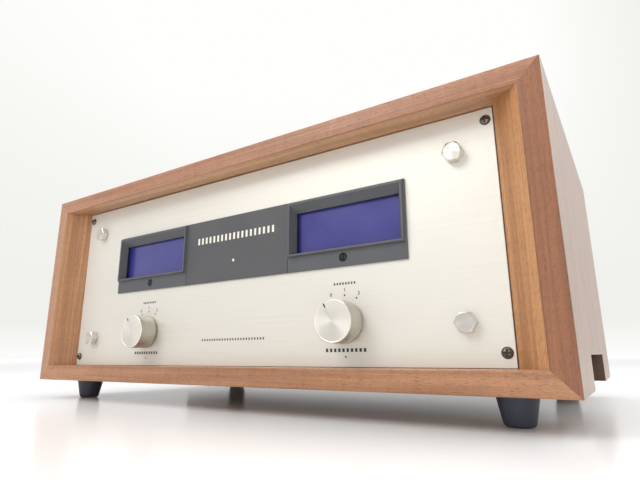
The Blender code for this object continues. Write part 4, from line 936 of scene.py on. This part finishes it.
def make_stile(side):
    """A splayed stile, closed against the board beside it and at its ends."""
    node = side + "_splayed_stile"
    stile = copy_of(node)
    low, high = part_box(node)
    outer = max(high.x, -low.x)
    for vert in stile.verts:
        vert.co.x += SIDES[side] * STILE_CLOSING * near(abs(vert.co.x), outer)
        vert.co.z += STILE_CLOSING * near(vert.co.z, high.z)
        vert.co.z -= STILE_CLOSING * near(vert.co.z, low.z)
    round_edges(stile, STILE_ROUNDING,
                choose=lambda edge: along_axis(edge, 2) and edge_length(edge) > LONG_EDGE)
    place_piece("walnut_" + side + "_stile", stile, "stile", node)


def on_slot(edge, low, high):
    """Whether an edge of the top board lies round the mouth of a slot, on the upper face."""
    return all(near(place.z, high.z) and low.y + OVERRUN < place.y < high.y - OVERRUN
               and abs(place.x) < high.x - OVERRUN for place in (vert.co for vert in edge.verts))


def in_notch(edge):
    """Whether an edge of a side board runs round the notch."""
    first, second = (vert.co for vert in edge.verts)
    inner_y = cad_box[1].y - OVERRUN
    return max(abs(first.y), abs(second.y)) < inner_y and near(first.x, second.x)


def make_foot(row, side):
    """A tapered rubber foot with a rounded lower edge."""
    node = row + "_" + side + "_foot"
    low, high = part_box(node)
    centre = middle(node, 2)
    top_radius = (high.x - low.x) / 2
    rail_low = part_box("sleeve_" + row + "_rail")[0].z
    profile = [(0, FOOT_RECESS_DEPTH), (FOOT_RECESS_RADIUS, FOOT_RECESS_DEPTH), (FOOT_RECESS_RADIUS, low.z),
               (FOOT_BOTTOM_RADIUS, low.z), (top_radius, rail_low - FOOT_SHOULDER),
               (top_radius, rail_low - CONTACT), (0, rail_low - CONTACT)]
    foot = lathe(profile, centre, ALONG_Z)
    round_edges(foot, FOOT_ROUNDING, FOOT_SEGMENTS, choose=lambda edge: bottom_rim(edge, centre, low.z))
    place_piece("rubber_" + node, foot, "rubber", node, smooth=True)


def bottom_rim(edge, centre, level):
    """Whether an edge is on the outer rim of a foot's underside."""
    return all(near(place.z, level)
               and math.hypot(place.x - centre[0], place.y - centre[1]) > FOOT_BOTTOM_RADIUS - OVERRUN
               for place in (vert.co for vert in edge.verts))


def make_panel():
    """The brushed front panel with a fine broken edge, and the plate between the meters."""
    panel = copy_of("front_panel")
    low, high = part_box("front_panel")
    for vert in panel.verts:
        vert.co.z -= PANEL_TRIM * near(vert.co.z, high.z)
        vert.co.x -= math.copysign(PANEL_TRIM / 2, vert.co.x) * near(abs(vert.co.x), high.x)
    round_edges(panel, PANEL_ROUNDING, 1,
                choose=lambda edge: edge_length(edge) > LONG_EDGE and near(edge.verts[0].co.y, low.y))
    place_piece("brushed_front_panel", panel, "panel", "front_panel")
    plate = round_edges(copy_of("centre_plate"), PLATE_ROUNDING, 1)
    place_piece("charcoal_centre_plate", plate, "plate", "centre_plate")


def grown(rectangle_sides, extra):
    """A rectangle (low x, high x, low z, high z) grown by a margin, or drawn in by a negative one."""
    low_x, high_x, low_z, high_z = rectangle_sides
    return low_x - extra, high_x + extra, low_z - extra, high_z + extra


def arc_points(radius, height, along):
    """A domed end from the axis out to a radius, for a lathe profile."""
    turns = [math.pi / 2 * i / DOME_STEPS for i in range(DOME_STEPS + 1)]
    return [(radius * math.sin(turn), along + height * (1 - math.cos(turn))) for turn in turns]


def cross_slot(centre, front):
    """A cutter for a cross-shaped screwdriver slot."""
    x, _, z = centre
    bars = [block((x - half_x, front - OVERRUN, z - half_z), (x + half_x, front + CROSS_DEPTH, z + half_z))
            for half_x, half_z in ((CROSS_LENGTH / 2, CROSS_WIDTH / 2), (CROSS_WIDTH / 2, CROSS_LENGTH / 2))]
    return boolean(*bars, "UNION")


def make_bolt(node):
    """A hexagon bolt with a chamfered crown."""
    low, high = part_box(node)
    centre = middle(node)
    corner = BOLT_ACROSS_FLATS / math.sqrt(3)
    back = low.y + BOLT_HEAD_HEIGHT
    head = turned(centre, low.y, (corner, back), steps=HEXAGON_STEPS)
    crown_low = BOLT_ACROSS_FLATS / 2 - BOLT_CROWN
    crown_high = corner + BOLT_CROWN
    slope = (crown_high - crown_low) * math.tan(BOLT_CROWN_ANGLE)
    crown = lathe([(0, low.y), (crown_low, low.y), (crown_high, low.y + slope),
                   (crown_high, back + OVERRUN), (0, back + OVERRUN)], centre)
    head = boolean(head, crown, "INTERSECT")
    shank = turned(centre, low.y + OVERRUN, (BOLT_RADIUS, high.y), steps=THIN_STEPS)
    place_piece("plated_" + node, boolean(head, shank, "UNION"), "bolt", node, smooth=True, centre=centre)


def make_corner_screw(node):
    """A small domed screw with a cross-shaped slot whose inside is painted dark as shade."""
    low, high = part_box(node)
    centre = middle(node)
    radius = (high.x - low.x) / 2
    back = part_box("front_panel")[0].y - CONTACT
    dome = arc_points(radius - SCREW_RING, back - SCREW_RING - low.y, low.y)
    profile = [*dome, (radius - SCREW_RING / 2, back - SCREW_RING), (radius, back - SCREW_RING / 2),
               (radius, back), (SCREW_SHANK, back), (SCREW_SHANK, high.y), (0, high.y)]
    screw = cut(lathe(profile, centre, steps=SMALL_STEPS), cross_slot(centre, low.y))
    # The slot's walls and floor take the dark ink finish: painted shade in the recess
    for face in screw.faces:
        depths = [vert.co.y for vert in face.verts]
        inside = all(math.hypot(vert.co.x - centre[0], vert.co.z - centre[2]) < CROSS_LENGTH
                     for vert in face.verts)
        in_slot = abs(face.normal.y) < SLOT_WALL_FACING or min(depths) > low.y + CROSS_DEPTH - CONTACT
        face.material_index = int(inside and in_slot and max(depths) < back - SCREW_RING / 4)
    place_piece("bronze_" + node, screw, "bronze", node, smooth=True, second="ink")


def make_bezel(side):
    """A moulded bezel: plate, raised frame with a funnel down to the lens, and a block through the panel."""
    node = side + "_meter_bezel"
    low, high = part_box(node)
    panel_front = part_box("front_panel")[0].y
    plate_front = low.y + FRAME_RISE
    back = panel_front - CONTACT
    plate = (low.x, high.x, low.z, high.z)
    block_sides = grown(plate, -BLOCK_MARGIN)
    body = loft([(high.y, *block_sides), (back, *block_sides), (back, *plate), (plate_front, *plate)])
    base = (low.x + FRAME_LEDGE, high.x - FRAME_LEDGE, low.z + BAND_HEIGHT, high.z - FRAME_LEDGE)
    front = grown(base, -FRAME_TAPER)
    raised = loft([(plate_front + FRAME_ROOT, *base), (plate_front, *base), (low.y, *front)])
    body = boolean(body, raised, "UNION")
    mouth = grown(front, -FRAME_RIM)
    window = (low.x + WINDOW_SIDE_MARGIN, high.x - WINDOW_SIDE_MARGIN,
              low.z + BAND_HEIGHT + WINDOW_BOTTOM_MARGIN, high.z - WINDOW_TOP_MARGIN)
    body = cut(body, loft([(low.y - OVERRUN, *mouth), (low.y, *mouth), (panel_front + WINDOW_DEPTH, *window),
                           (panel_front + LENS_SEAT_DEPTH + LENS_THROAT, *window)]))
    pocket = grown(window, LENS_LAP)
    body = cut(body, loft([(panel_front + LENS_SEAT_DEPTH, *pocket), (high.y + OVERRUN, *pocket)]))
    hole = turned((middle(node)[0], 0, low.z + ADJUSTER_RAISE), plate_front - OVERRUN,
                  (ADJUSTER_RADIUS + ADJUSTER_GAP, plate_front + ADJUSTER_DEPTH),
                  (ADJUSTER_SHANK, high.y + OVERRUN), steps=FITTING_STEPS)
    body = cut(body, hole)
    round_edges(body, BEZEL_ROUNDING, choose=lambda edge: edge_length(edge) > ADJUSTER_RADIUS)
    place_piece("moulded_" + node, body, "charcoal", node)

    low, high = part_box(side + "_meter_lens")
    face = high.y - LENS_FACE
    # A near-black block round the window, just behind the lens face: painted shade in the meter's throat
    liner = cut(block(low, (high.x, face, high.z)), loft([(panel_front, *window), (high.y, *window)]))
    place_piece(side + "_lens_liner", liner, "liner")
    place_piece("tinted_" + side + "_lens", block((low.x, face, low.z), high), "lens", side + "_meter_lens")


def text_shape(words, centre, size, turn=0.0):
    """Plain numerals, a little raised, upright on a plane that faces the front."""
    curve = bpy.data.curves.new("numeral", "FONT")
    curve.body = words
    curve.size = size
    curve.extrude = MARK_THICKNESS / 2
    curve.offset = NUMERAL_WEIGHT
    curve.align_x = "CENTER"
    curve.align_y = "CENTER"
    writing = bpy.data.objects.new("numeral", curve)
    bpy.context.scene.collection.objects.link(writing)
    bpy.context.view_layer.update()
    shape = bmesh.new()
    made = writing.evaluated_get(bpy.context.evaluated_depsgraph_get())
    shape.from_mesh(made.to_mesh())
    made.to_mesh_clear()
    bpy.data.objects.remove(writing)
    bpy.data.curves.remove(curve)
    upright = Matrix.Rotation(turn, 4, "Y") @ Matrix.Rotation(math.pi / 2, 4, "X")
    bmesh.ops.transform(shape, matrix=Matrix.Translation(Vector(centre)) @ upright, verts=shape.verts)
    return clean_up(shape)


def dot(x, z, radius, face_y):
    """A small printed dot on a plane that faces the front."""
    return turned((x, 0, z), face_y - MARK_THICKNESS, (radius, face_y + CONTACT), steps=DOT_STEPS)


def bar_row(x, z, row, face_y):
    """Upright bars in a row about a middle, a plain stand-in for a printed label."""
    count, pitch, half_x, half_z = row
    low_z, high_z = z - half_z, z + half_z
    middles = [x + pitch * (i - (count - 1) / 2) for i in range(count)]
    front, back = face_y - MARK_THICKNESS, face_y + CONTACT
    return [block((place - half_x, front, low_z), (place + half_x, back, high_z)) for place in middles]


def make_dial(side):
    """The dial card with a plain printed scale, under the tinted lens."""
    node = side + "_meter_dial"
    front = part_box(node)[0].y - MARK_THICKNESS
    x, _, pivot_z = joint_place(side + "_needle_swing")
    marks = []

    def add_bar(turn, half_width, start, end):
        """A printed bar that lies across the needle's swing."""
        about = Matrix.Translation((x, 0, pivot_z)) @ Matrix.Rotation(turn, 4, "Y")
        piece = block((-half_width, front, start), (half_width, front + MARK_THICKNESS + CONTACT, end))
        bmesh.ops.transform(piece, matrix=about, verts=piece.verts)
        marks.append(piece)
        return about

    for step in range(DIAL_STEPS + 1):
        turn = DIAL_SWING * (2 * step / DIAL_STEPS - 1)
        long_mark = step % 2 == 0
        about = add_bar(turn, DIAL_LINE / 2, DIAL_RADIUS,
                        DIAL_RADIUS + DIAL_TICK * (1 if long_mark else SHORT_TICK_SHARE))
        if long_mark:
            place = about @ Vector((0, front + MARK_THICKNESS / 2, DIAL_RADIUS - DIAL_NUMERAL))
            marks.append(text_shape(str(DIAL_NUMERAL_STEP * step // 2), place, DIAL_NUMERAL, turn))
    for step in range(2 * DIAL_STEPS):
        add_bar(DIAL_SWING * ((step + 0.5) / DIAL_STEPS - 1), DIAL_RADIUS * DIAL_SWING / DIAL_STEPS / 2,
                DIAL_RADIUS - DIAL_LINE, DIAL_RADIUS)
    place_piece(side + "_dial_scale", join(marks), "scale")
    for part, finish in (("dial", "dial"), ("needle", "needle"), ("case", "phenolic")):
        dress(side + "_meter_" + part, finish)
    dress(side + "_zero_arm", "bright")


def joint_place(name):
    """Where a joint's axis lies."""
    return next(joint["pos_m"] for joint in frame["record"]["behaviour"]["joints"] if joint["name"] == name)


def make_zero_adjuster(side):
    """A slotted zero screw with a dished head, in its hole in the bezel."""
    node = side + "_zero_adjuster"
    low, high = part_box(node)
    centre = middle(node)
    x, _, z = centre
    radius = (high.x - low.x) / 2 - ADJUSTER_SHRINK
    rim = radius - ADJUSTER_RIM
    face = low.y + ADJUSTER_SINK
    dish = face + ADJUSTER_DISH
    end = high.y - ADJUSTER_PIN_REACH
    sides = side_points(dish, [(radius, low.y + ADJUSTER_DEPTH - ADJUSTER_GAP),
                               (ADJUSTER_SHANK - ADJUSTER_GAP, end)])
    screw = lathe([(0, dish), (rim - ADJUSTER_DISH, dish), (rim, face), (rim + ADJUSTER_RIM / 2, face),
                   *sides, (0, end)], centre, steps=FITTING_STEPS)
    half = ADJUSTER_SLOT / 2
    screw = cut(screw, block((x - half, low.y - OVERRUN, z - 2 * radius),
                             (x + half, face + ADJUSTER_SLOT_DEPTH, z + 2 * radius)))
    pin = turned((x, 0, z + ADJUSTER_PIN_OFFSET), high.y - 2 * ADJUSTER_PIN_REACH, (ADJUSTER_PIN, high.y),
                 steps=PIN_STEPS)
    place_piece("slotted_" + node, boolean(screw, pin, "UNION"), "adjuster", node, side + "_zero_screw",
                smooth=True)


def make_knob(side):
    """A turned knob with a dished face, and the inlay of its index notch."""
    node = side + "_range_knob"
    low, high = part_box(node)
    centre = middle(node)
    x, _, z = centre
    rim = KNOB_RADIUS - KNOB_CHAMFER
    face = low.y + KNOB_FACE_DISH
    bore_end = high.y - KNOB_BORE_DEPTH
    sides = side_points(low.y + KNOB_CHAMFER, [
        (KNOB_RADIUS, high.y - KNOB_NECK_HEIGHT), (KNOB_RADIUS - KNOB_NECK, high.y),
        (KNOB_UNDERCUT_RADIUS, high.y - KNOB_UNDERCUT_DEPTH), (KNOB_BORE, bore_end)])
    knob = lathe([(0, face), (rim - KNOB_LIP, face), (rim - KNOB_LIP + KNOB_FACE_DISH, low.y), (rim, low.y),
                  *sides, (0, bore_end)], centre, steps=KNOB_STEPS)
    round_edges(knob, KNOB_ROUNDING, choose=lambda edge: edge_length(edge) < KNOB_FACET
                and near(edge.verts[0].co.y, edge.verts[1].co.y))
    top = z + KNOB_RADIUS - INDEX_EDGE
    index = block((x - INDEX_WIDTH / 2, low.y - OVERRUN, top - INDEX_LENGTH),
                  (x + INDEX_WIDTH / 2, low.y + INDEX_DEPTH, top))
    round_edges(index, INDEX_WIDTH * INDEX_ROUNDING_SHARE, INDEX_SEGMENTS,
                choose=lambda edge: along_axis(edge, 1))
    turn = (Matrix.Translation(Vector(centre)) @ Matrix.Rotation(KNOB_TURN, 4, "Y")
            @ Matrix.Translation(-Vector(centre)))
    bmesh.ops.transform(index, matrix=turn, verts=index.verts)
    inlay = index.copy()
    knob = cut(knob, index)
    # Side faces take the darker copy of the spun finish: painted shade on the knob's sides
    for surface in knob.faces:
        surface.material_index = int(abs(surface.normal.y) < KNOB_SIDE_FACING)
    place_piece("turned_" + node, knob, "spun", node, side + "_knob", smooth=True, centre=centre,
                second="satin")
    bmesh.ops.bisect_plane(inlay, geom=[*inlay.verts, *inlay.edges, *inlay.faces],
                           plane_co=(0, face + INLAY_DROP, 0), plane_no=(0, -1, 0), clear_outer=True)
    bmesh.ops.holes_fill(inlay, edges=[edge for edge in inlay.edges if edge.is_boundary])
    bmesh.ops.recalc_face_normals(inlay, faces=inlay.faces)
    place_piece(side + "_index_inlay", inlay, "ink", body=side + "_knob")


def make_range_marks(side):
    """The dots, numerals and bars printed round a knob, and the finish of the shaft and switch behind it."""
    panel_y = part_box("front_panel")[0].y
    x, _, z = middle(side + "_range_knob")
    marks = []
    for number in range(DETENT_COUNT):
        turn = (number - 1) * DETENT_TURN
        across, up = math.sin(turn), math.cos(turn)
        marks.append(dot(x + DETENT_RADIUS * across, z + DETENT_RADIUS * up, DETENT_DOT_RADIUS, panel_y))
        reach = DETENT_RADIUS + NUMERAL_SPACE
        place = (x + reach * across, panel_y - MARK_THICKNESS / 2, z + reach * up)
        marks.append(text_shape(str(number), place, NUMERAL_SIZE))
    marks += bar_row(x, z + HEADING_RAISE, HEADING_ROW, panel_y)
    marks += bar_row(x, z - LABEL_DROP, LABEL_ROW, panel_y)
    marks.append(dot(x, z - LABEL_DROP - LABEL_DOT_DROP, DETENT_DOT_RADIUS, panel_y))
    place_piece(side + "_range_marks", join(marks), "ink")
    dress(side + "_range_shaft", "bright")
    dress(side + "_range_switch", "phenolic")


def make_plate_marks():
    """Plain upright bars and a dot on the centre plate, and a row of small bars below it on the panel."""
    low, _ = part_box("centre_plate")
    bars = bar_row(0, low.z + PLATE_BARS_RAISE, PLATE_ROW, low.y)
    bars.append(dot(0, low.z + PLATE_DOT_RAISE, PLATE_DOT_RADIUS, low.y))
    place_piece("centre_plate_marks", join(bars), "cream")
    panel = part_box("front_panel")[0]
    place_piece("centre_row", join(bar_row(0, panel.z + CENTRE_ROW_RAISE, CENTRE_ROW, panel.y)), "ink")


def make_heat_sink(side):
    """A finned heat sink with softened fin edges."""
    node = side + "_heat_sink"
    sink = round_edges(copy_of(node), SINK_ROUNDING, choose=lambda edge: along_axis(edge, 2))
    place_piece("anodised_" + node, sink, "anodised", node)


def fluted(radius, flutes, centre, start, end):
    """A round grip with flutes along its side and a chamfer at its end."""
    count = flutes * FLUTE_STEPS
    outline = []
    for step in range(count):
        turn = math.tau * step / count
        reach = radius - FLUTE_DEPTH * abs(math.sin(flutes * turn / 2)) ** 2
        outline.append((centre[0] + reach * math.cos(turn), centre[2] + reach * math.sin(turn)))
    return round_edges(prism(outline, 1, start, end), GRIP_CHAMFER, choose=lambda edge: at_end(edge, end))


def at_end(edge, end):
    """Whether an edge lies in the plane at one place along Y."""
    return all(near(vert.co.y, end) for vert in edge.verts)


def rear_plate(node, thickness):
    """A plate with rounded corners on the rear panel; gives its shape, its seat and its end."""
    low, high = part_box(node)
    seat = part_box("rear_panel")[1].y + REAR_GAP
    end = seat + thickness
    plate = block((low.x, seat, low.z), (high.x, end, high.z))
    round_edges(plate, PLATE_CORNER, PLATE_CORNER_SEGMENTS, choose=lambda edge: along_axis(edge, 1))
    round_edges(plate, PLATE_EDGE, choose=lambda edge: at_end(edge, end))
    return plate, seat, end


def make_terminals():
    """The terminal block with its plated posts, and four fluted screw caps."""
    low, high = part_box("terminal_block")
    plate, seat, plate_end = rear_plate("terminal_block", BLOCK_THICKNESS)
    place_piece("phenolic_terminal_block", plate, "phenolic", "terminal_block")
    names = [side + "_" + colour for side in SIDES for colour in ("red", "black")]
    places = [middle(name + "_terminal_cap") for name in names]
    sides = side_points(plate_end, [(POST_BASE_RADIUS, plate_end + POST_BASE, GRIP_CHAMFER),
                                    (POST_STUD, high.y)])
    profile = [(0, low.y), (POST_BARREL, low.y), (POST_BARREL, seat + CONTACT),
               (POST_BASE_RADIUS - GRIP_CHAMFER, plate_end - CONTACT), *sides, (0, high.y)]
    posts = [lathe(profile, place, steps=SMALL_STEPS) for place in places]
    place_piece("plated_posts", join(posts), "brass", smooth=True, centre=(0, 0, 0))
    bore_radius = POST_STUD + REAR_GAP
    for name, place in zip(names, places):
        node = name + "_terminal_cap"
        low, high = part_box(node)
        grip = fluted((high.x - low.x) / 2, CAP_FLUTES, place, low.y, high.y)
        bore = turned(place, low.y - OVERRUN, (bore_radius, high.y - CAP_END), steps=DOT_STEPS)
        place_piece("fluted_" + node, cut(grip, bore), name.split("_")[1], node, name + "_cap")
        ring_start = high.y - CONTACT
        ring = lathe([(bore_radius, ring_start), (POST_BARREL, ring_start), (POST_BARREL, high.y),
                      (bore_radius, high.y)], place, steps=SMALL_STEPS)
        bmesh.ops.holes_fill(ring, edges=[edge for edge in ring.edges if edge.is_boundary])
        place_piece(name + "_cap_ring", ring, "brass", body=name + "_cap", smooth=True, centre=place)


def make_input_jacks():
    """Two plated input jacks with coloured insulators, on one plate."""
    low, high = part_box("input_jacks")
    plate, seat, plate_end = rear_plate("input_jacks", JACK_PLATE)
    place_piece("jack_plate", plate, "phenolic", "input_jacks")
    collar_end = plate_end + JACK_COLLAR
    for side, finish in (("left", "white"), ("right", "red")):
        centre = (SIDES[side] * JACK_X, 0, (low.z + high.z) / 2)
        collar = turned(centre, seat + CONTACT, (JACK_COLLAR_RADIUS, collar_end, GRIP_CHAMFER),
                        steps=FITTING_STEPS)
        place_piece(side + "_jack_insulator", collar, finish, smooth=True)
        barrel = turned(centre, low.y, (JACK_BARREL, high.y, GRIP_CHAMFER), (JACK_BORE, collar_end),
                        steps=FITTING_STEPS)
        place_piece(side + "_jack_barrel", barrel, "brass", smooth=True, centre=centre)


def make_mains_fittings():
    """The mains plate with its gland and fuse tube, and the fuse in its fluted cap."""
    low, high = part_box("mains_plate")
    plate, seat, plate_end = rear_plate("mains_plate", MAINS_PLATE)
    z = (low.z + high.z) / 2
    fuse = (-MAINS_X, 0, z)
    gland = (MAINS_X, 0, z)
    holes = join([turned(centre, seat - OVERRUN, (radius, plate_end + OVERRUN), steps=FITTING_STEPS)
                  for centre, radius in ((fuse, FUSE_BORE), (gland, GLAND_BORE))])
    place_piece("phenolic_mains_plate", cut(plate, holes), "phenolic", "mains_plate")
    collar_end = plate_end + FUSE_COLLAR
    tube = lathe([(FUSE_BORE, low.y + OVERRUN), (FUSE_BARREL, low.y + OVERRUN), (FUSE_BARREL, seat + CONTACT),
                  *side_points(plate_end - CONTACT, [(FUSE_COLLAR_RADIUS, collar_end, GRIP_CHAMFER)]),
                  (FUSE_BORE, collar_end), (FUSE_BORE, low.y + OVERRUN)], fuse, steps=FITTING_STEPS)
    inner = low.y + FUSE_COLLAR
    sleeve = [(GLAND_BORE, inner), (GLAND_BARREL, inner), (GLAND_BARREL, seat + CONTACT),
              (GLAND_RADIUS, plate_end - CONTACT)]
    pitch = GLAND_LENGTH / GLAND_RINGS
    for i in range(GLAND_RINGS):
        radius, neck = (GLAND_RADIUS - (GLAND_RADIUS - GLAND_BARREL) * number / GLAND_RINGS
                        for number in (i, i + 1))
        along = plate_end + pitch * i
        sleeve += side_points(along, [(radius, along + pitch - GLAND_GROOVE),
                                      (neck - GLAND_GROOVE, along + pitch)])
    sleeve += [(GLAND_BORE, high.y), (GLAND_BORE, inner)]
    bush = lathe(sleeve, gland, steps=FITTING_STEPS)
    place_piece("fuse_tube_and_gland", join([tube, bush]), "black", smooth=True)

    low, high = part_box("fuse_cap")
    grip_start = collar_end + REAR_GAP
    cap = fluted((high.x - low.x) / 2, FUSE_FLUTES, fuse, grip_start, high.y)
    skirt = turned(fuse, seat, (FUSE_BORE - REAR_GAP, grip_start + CONTACT), steps=SMALL_STEPS)
    place_piece("fluted_fuse_cap", boolean(cap, skirt, "UNION"), "black", "fuse_cap", "fuse")
    ends = [turned(fuse, start, (FUSE_RADIUS, start + FUSE_FERRULE), steps=THIN_STEPS)
            for start in (low.y, seat - FUSE_FERRULE)]
    place_piece("fuse_ferrules", join(ends), "brass", body="fuse", smooth=True, centre=fuse)
    glass = turned(fuse, low.y + FUSE_FERRULE, (FUSE_RADIUS - CONTACT, seat - FUSE_FERRULE), steps=THIN_STEPS)
    place_piece("fuse_glass", glass, "glass", body="fuse", smooth=True)


def make_chassis():
    """Finishes of the pan, cover, rear panel and what stands inside, and the rear panel's screws."""
    for finish, nodes in (("steel", ("chassis_pan", "top_cover")),
                          ("black_paint", ("rear_panel", "transformer_core")),
                          ("copper", ("transformer_winding",)),
                          ("board", ("left_output_board", "right_output_board"))):
        for node in nodes:
            dress(node, finish)
    low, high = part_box("rear_panel")
    front = high.y + REAR_SCREW_HEIGHT
    dome = [(radius, 2 * front - along)
            for radius, along in reversed(arc_points(REAR_SCREW_RADIUS, REAR_SCREW_HEIGHT, front))]
    profile = [(0, high.y - CONTACT), (REAR_SCREW_RADIUS, high.y - CONTACT), *dome]
    screws = []
    for sign in SIDES.values():
        for x, z in ((REAR_SCREW_X, low.z + REAR_SCREW_RISE), (REAR_SCREW_X, high.z - REAR_SCREW_RISE),
                     (REAR_SCREW_X + SINK_SCREW_SPACE, high.z - REAR_SCREW_INSET),
                     (high.x - REAR_SCREW_END, high.z - REAR_SCREW_INSET)):
            x *= sign
            slot = block((x - CROSS_LENGTH / 2, front - CROSS_DEPTH, z - CROSS_WIDTH / 2),
                         (x + CROSS_LENGTH / 2, front + OVERRUN, z + CROSS_WIDTH / 2))
            screws.append(cut(lathe(profile, (x, 0, z), steps=THIN_STEPS), slot))
    place_piece("rear_panel_screws", join(screws), "bright", smooth=True)


def make_capacitor(side):
    """A filter capacitor in its clamp."""
    node = side + "_filter_capacitor"
    low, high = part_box(node)
    centre = middle(node, 2)
    clamp = (high.x - low.x) / 2
    radius = clamp - CLAMP_THICKNESS
    can = turned(centre, low.z, (radius, high.z, CAN_BEAD), (radius - 2 * CAN_BEAD, high.z - CAN_BEAD),
                 axis=ALONG_Z)
    place_piece("sleeved_" + node, can, "can", node, smooth=True)
    inner = radius + CONTACT
    clamp_top = low.z + CLAMP_HEIGHT
    band = lathe([(inner, low.z), (clamp, low.z), (clamp, clamp_top), (inner, clamp_top), (inner, low.z)],
                 centre, ALONG_Z)
    place_piece(side + "_capacitor_clamp", band, "bright", smooth=True)


def make_camera():
    """The camera at the photograph's place and angle."""
    level = Vector((math.cos(CAMERA_YAW), math.sin(CAMERA_YAW), 0))
    forward = Vector((-math.sin(CAMERA_YAW) * math.cos(CAMERA_PITCH),
                      math.cos(CAMERA_YAW) * math.cos(CAMERA_PITCH), math.sin(CAMERA_PITCH)))
    upright = level.cross(forward)
    right = math.cos(CAMERA_ROLL) * level + math.sin(CAMERA_ROLL) * upright
    up = right.cross(forward)
    data = bpy.data.cameras.new("camera")
    data.lens = CAMERA_LENS
    data.sensor_width = SENSOR_WIDTH
    data.clip_start = CLIP_START
    camera = bpy.data.objects.new("camera", data)
    turn = Matrix((right, up, -forward)).transposed()
    camera.matrix_world = Matrix.Translation(CAMERA_PLACE) @ turn.to_4x4()
    bpy.context.scene.collection.objects.link(camera)
    bpy.context.scene.camera = camera


def make_light(name, place, target, size, power):
    """A soft square light aimed at a point."""
    data = bpy.data.lights.new(name, "AREA")
    data.size = size
    data.energy = power
    light = bpy.data.objects.new(name, data)
    light.location = place
    way = Vector(target) - Vector(place)
    light.rotation_euler = way.to_track_quat("-Z", "Y").to_euler()
    bpy.context.scene.collection.objects.link(light)


def make_surround():
    """A white surround that is darker at the right front, and the paler backdrop that the camera sees."""
    world = bpy.data.worlds.new("studio")
    bpy.context.scene.world = world
    world.use_nodes = True
    nodes = Shading(world.node_tree)
    seen = nodes.put("LightPath").outputs["Is Camera Ray"]
    x, y, z = nodes.parts(nodes.coords("Generated"))
    turned_away = nodes.times(nodes.maths("SUBTRACT", x, y), DIAGONAL)
    surround = nodes.blend(nodes.ramp(turned_away, *AWAY_RANGE), SURROUND_BACK, SURROUND_FRONT)
    sides = nodes.times(nodes.ramp(x, *GLOW_RIGHT), nodes.ramp(x, *GLOW_LEFT, *GLOW_LEFT_LEVELS))
    glow = nodes.times(nodes.ramp(z, *GLOW_HEIGHT), sides)
    backdrop = nodes.blend(glow, BACKDROP, BACKDROP_GLOW)
    backdrop = nodes.blend(nodes.ramp(z, *FOOT_HEIGHT), backdrop, BACKDROP_FOOT)
    background = world.node_tree.nodes["Background"]
    world.node_tree.links.new(nodes.blend(seen, surround, backdrop), background.inputs["Color"])


def make_table():
    """A pale glossy table top that fades into the backdrop."""
    nodes = new_material("white_table", roughness=0.20, specular_ior_level=0.35, emission_strength=1.0)
    coords = nodes.coords()
    cloud = nodes.noise(coords, *TABLE_CLOUD)
    reach = nodes.put("VectorMath", {0: coords}, operation="LENGTH").outputs["Value"]
    far = nodes.ramp(reach, *TABLE_FADE)
    nodes.surface(base_color=nodes.blend(cloud, *TABLE_TONES),
                  emission_color=nodes.blend(far, (0.0, 0.0, 0.0), TABLE_FAR_GLOW))
    disc = bmesh.new()
    bmesh.ops.create_circle(disc, cap_ends=True, segments=TABLE_STEPS, radius=TABLE_RADIUS)
    mesh = bpy.data.meshes.new("white_table")
    disc.to_mesh(mesh)
    disc.free()
    mesh.materials.append(nodes.material)
    table = bpy.data.objects.new("white_table", mesh)
    table.location.z = cad_box[0].z
    bpy.context.scene.collection.objects.link(table)


make_camera()
bpy.context.scene.view_settings.view_transform = "Standard"
make_surround()
make_table()
for light in LIGHTS:
    make_light(*light)
make_top_board()
for row in ("front", "rear"):
    make_board(row + "_rail", "rail", lambda edge: along_axis(edge, 0))
for side_name in SIDES:
    make_board(side_name + "_side", side_name + "_side", lambda edge: along_axis(edge, 2) or in_notch(edge))
    make_stile(side_name)
for row in ("front", "rear"):
    for side_name in SIDES:
        make_foot(row, side_name)
make_panel()
for row in ("lower", "upper"):
    for side_name in SIDES:
        make_bolt(row + "_" + side_name + "_panel_bolt")
        make_corner_screw(row + "_" + side_name + "_corner_screw")
for side_name in SIDES:
    for make_control in (make_bezel, make_dial, make_zero_adjuster, make_knob, make_range_marks):
        make_control(side_name)
make_plate_marks()
make_chassis()
for side_name in SIDES:
    make_capacitor(side_name)
for side_name in SIDES:
    make_heat_sink(side_name)
make_terminals()
make_input_jacks()
make_mains_fittings()
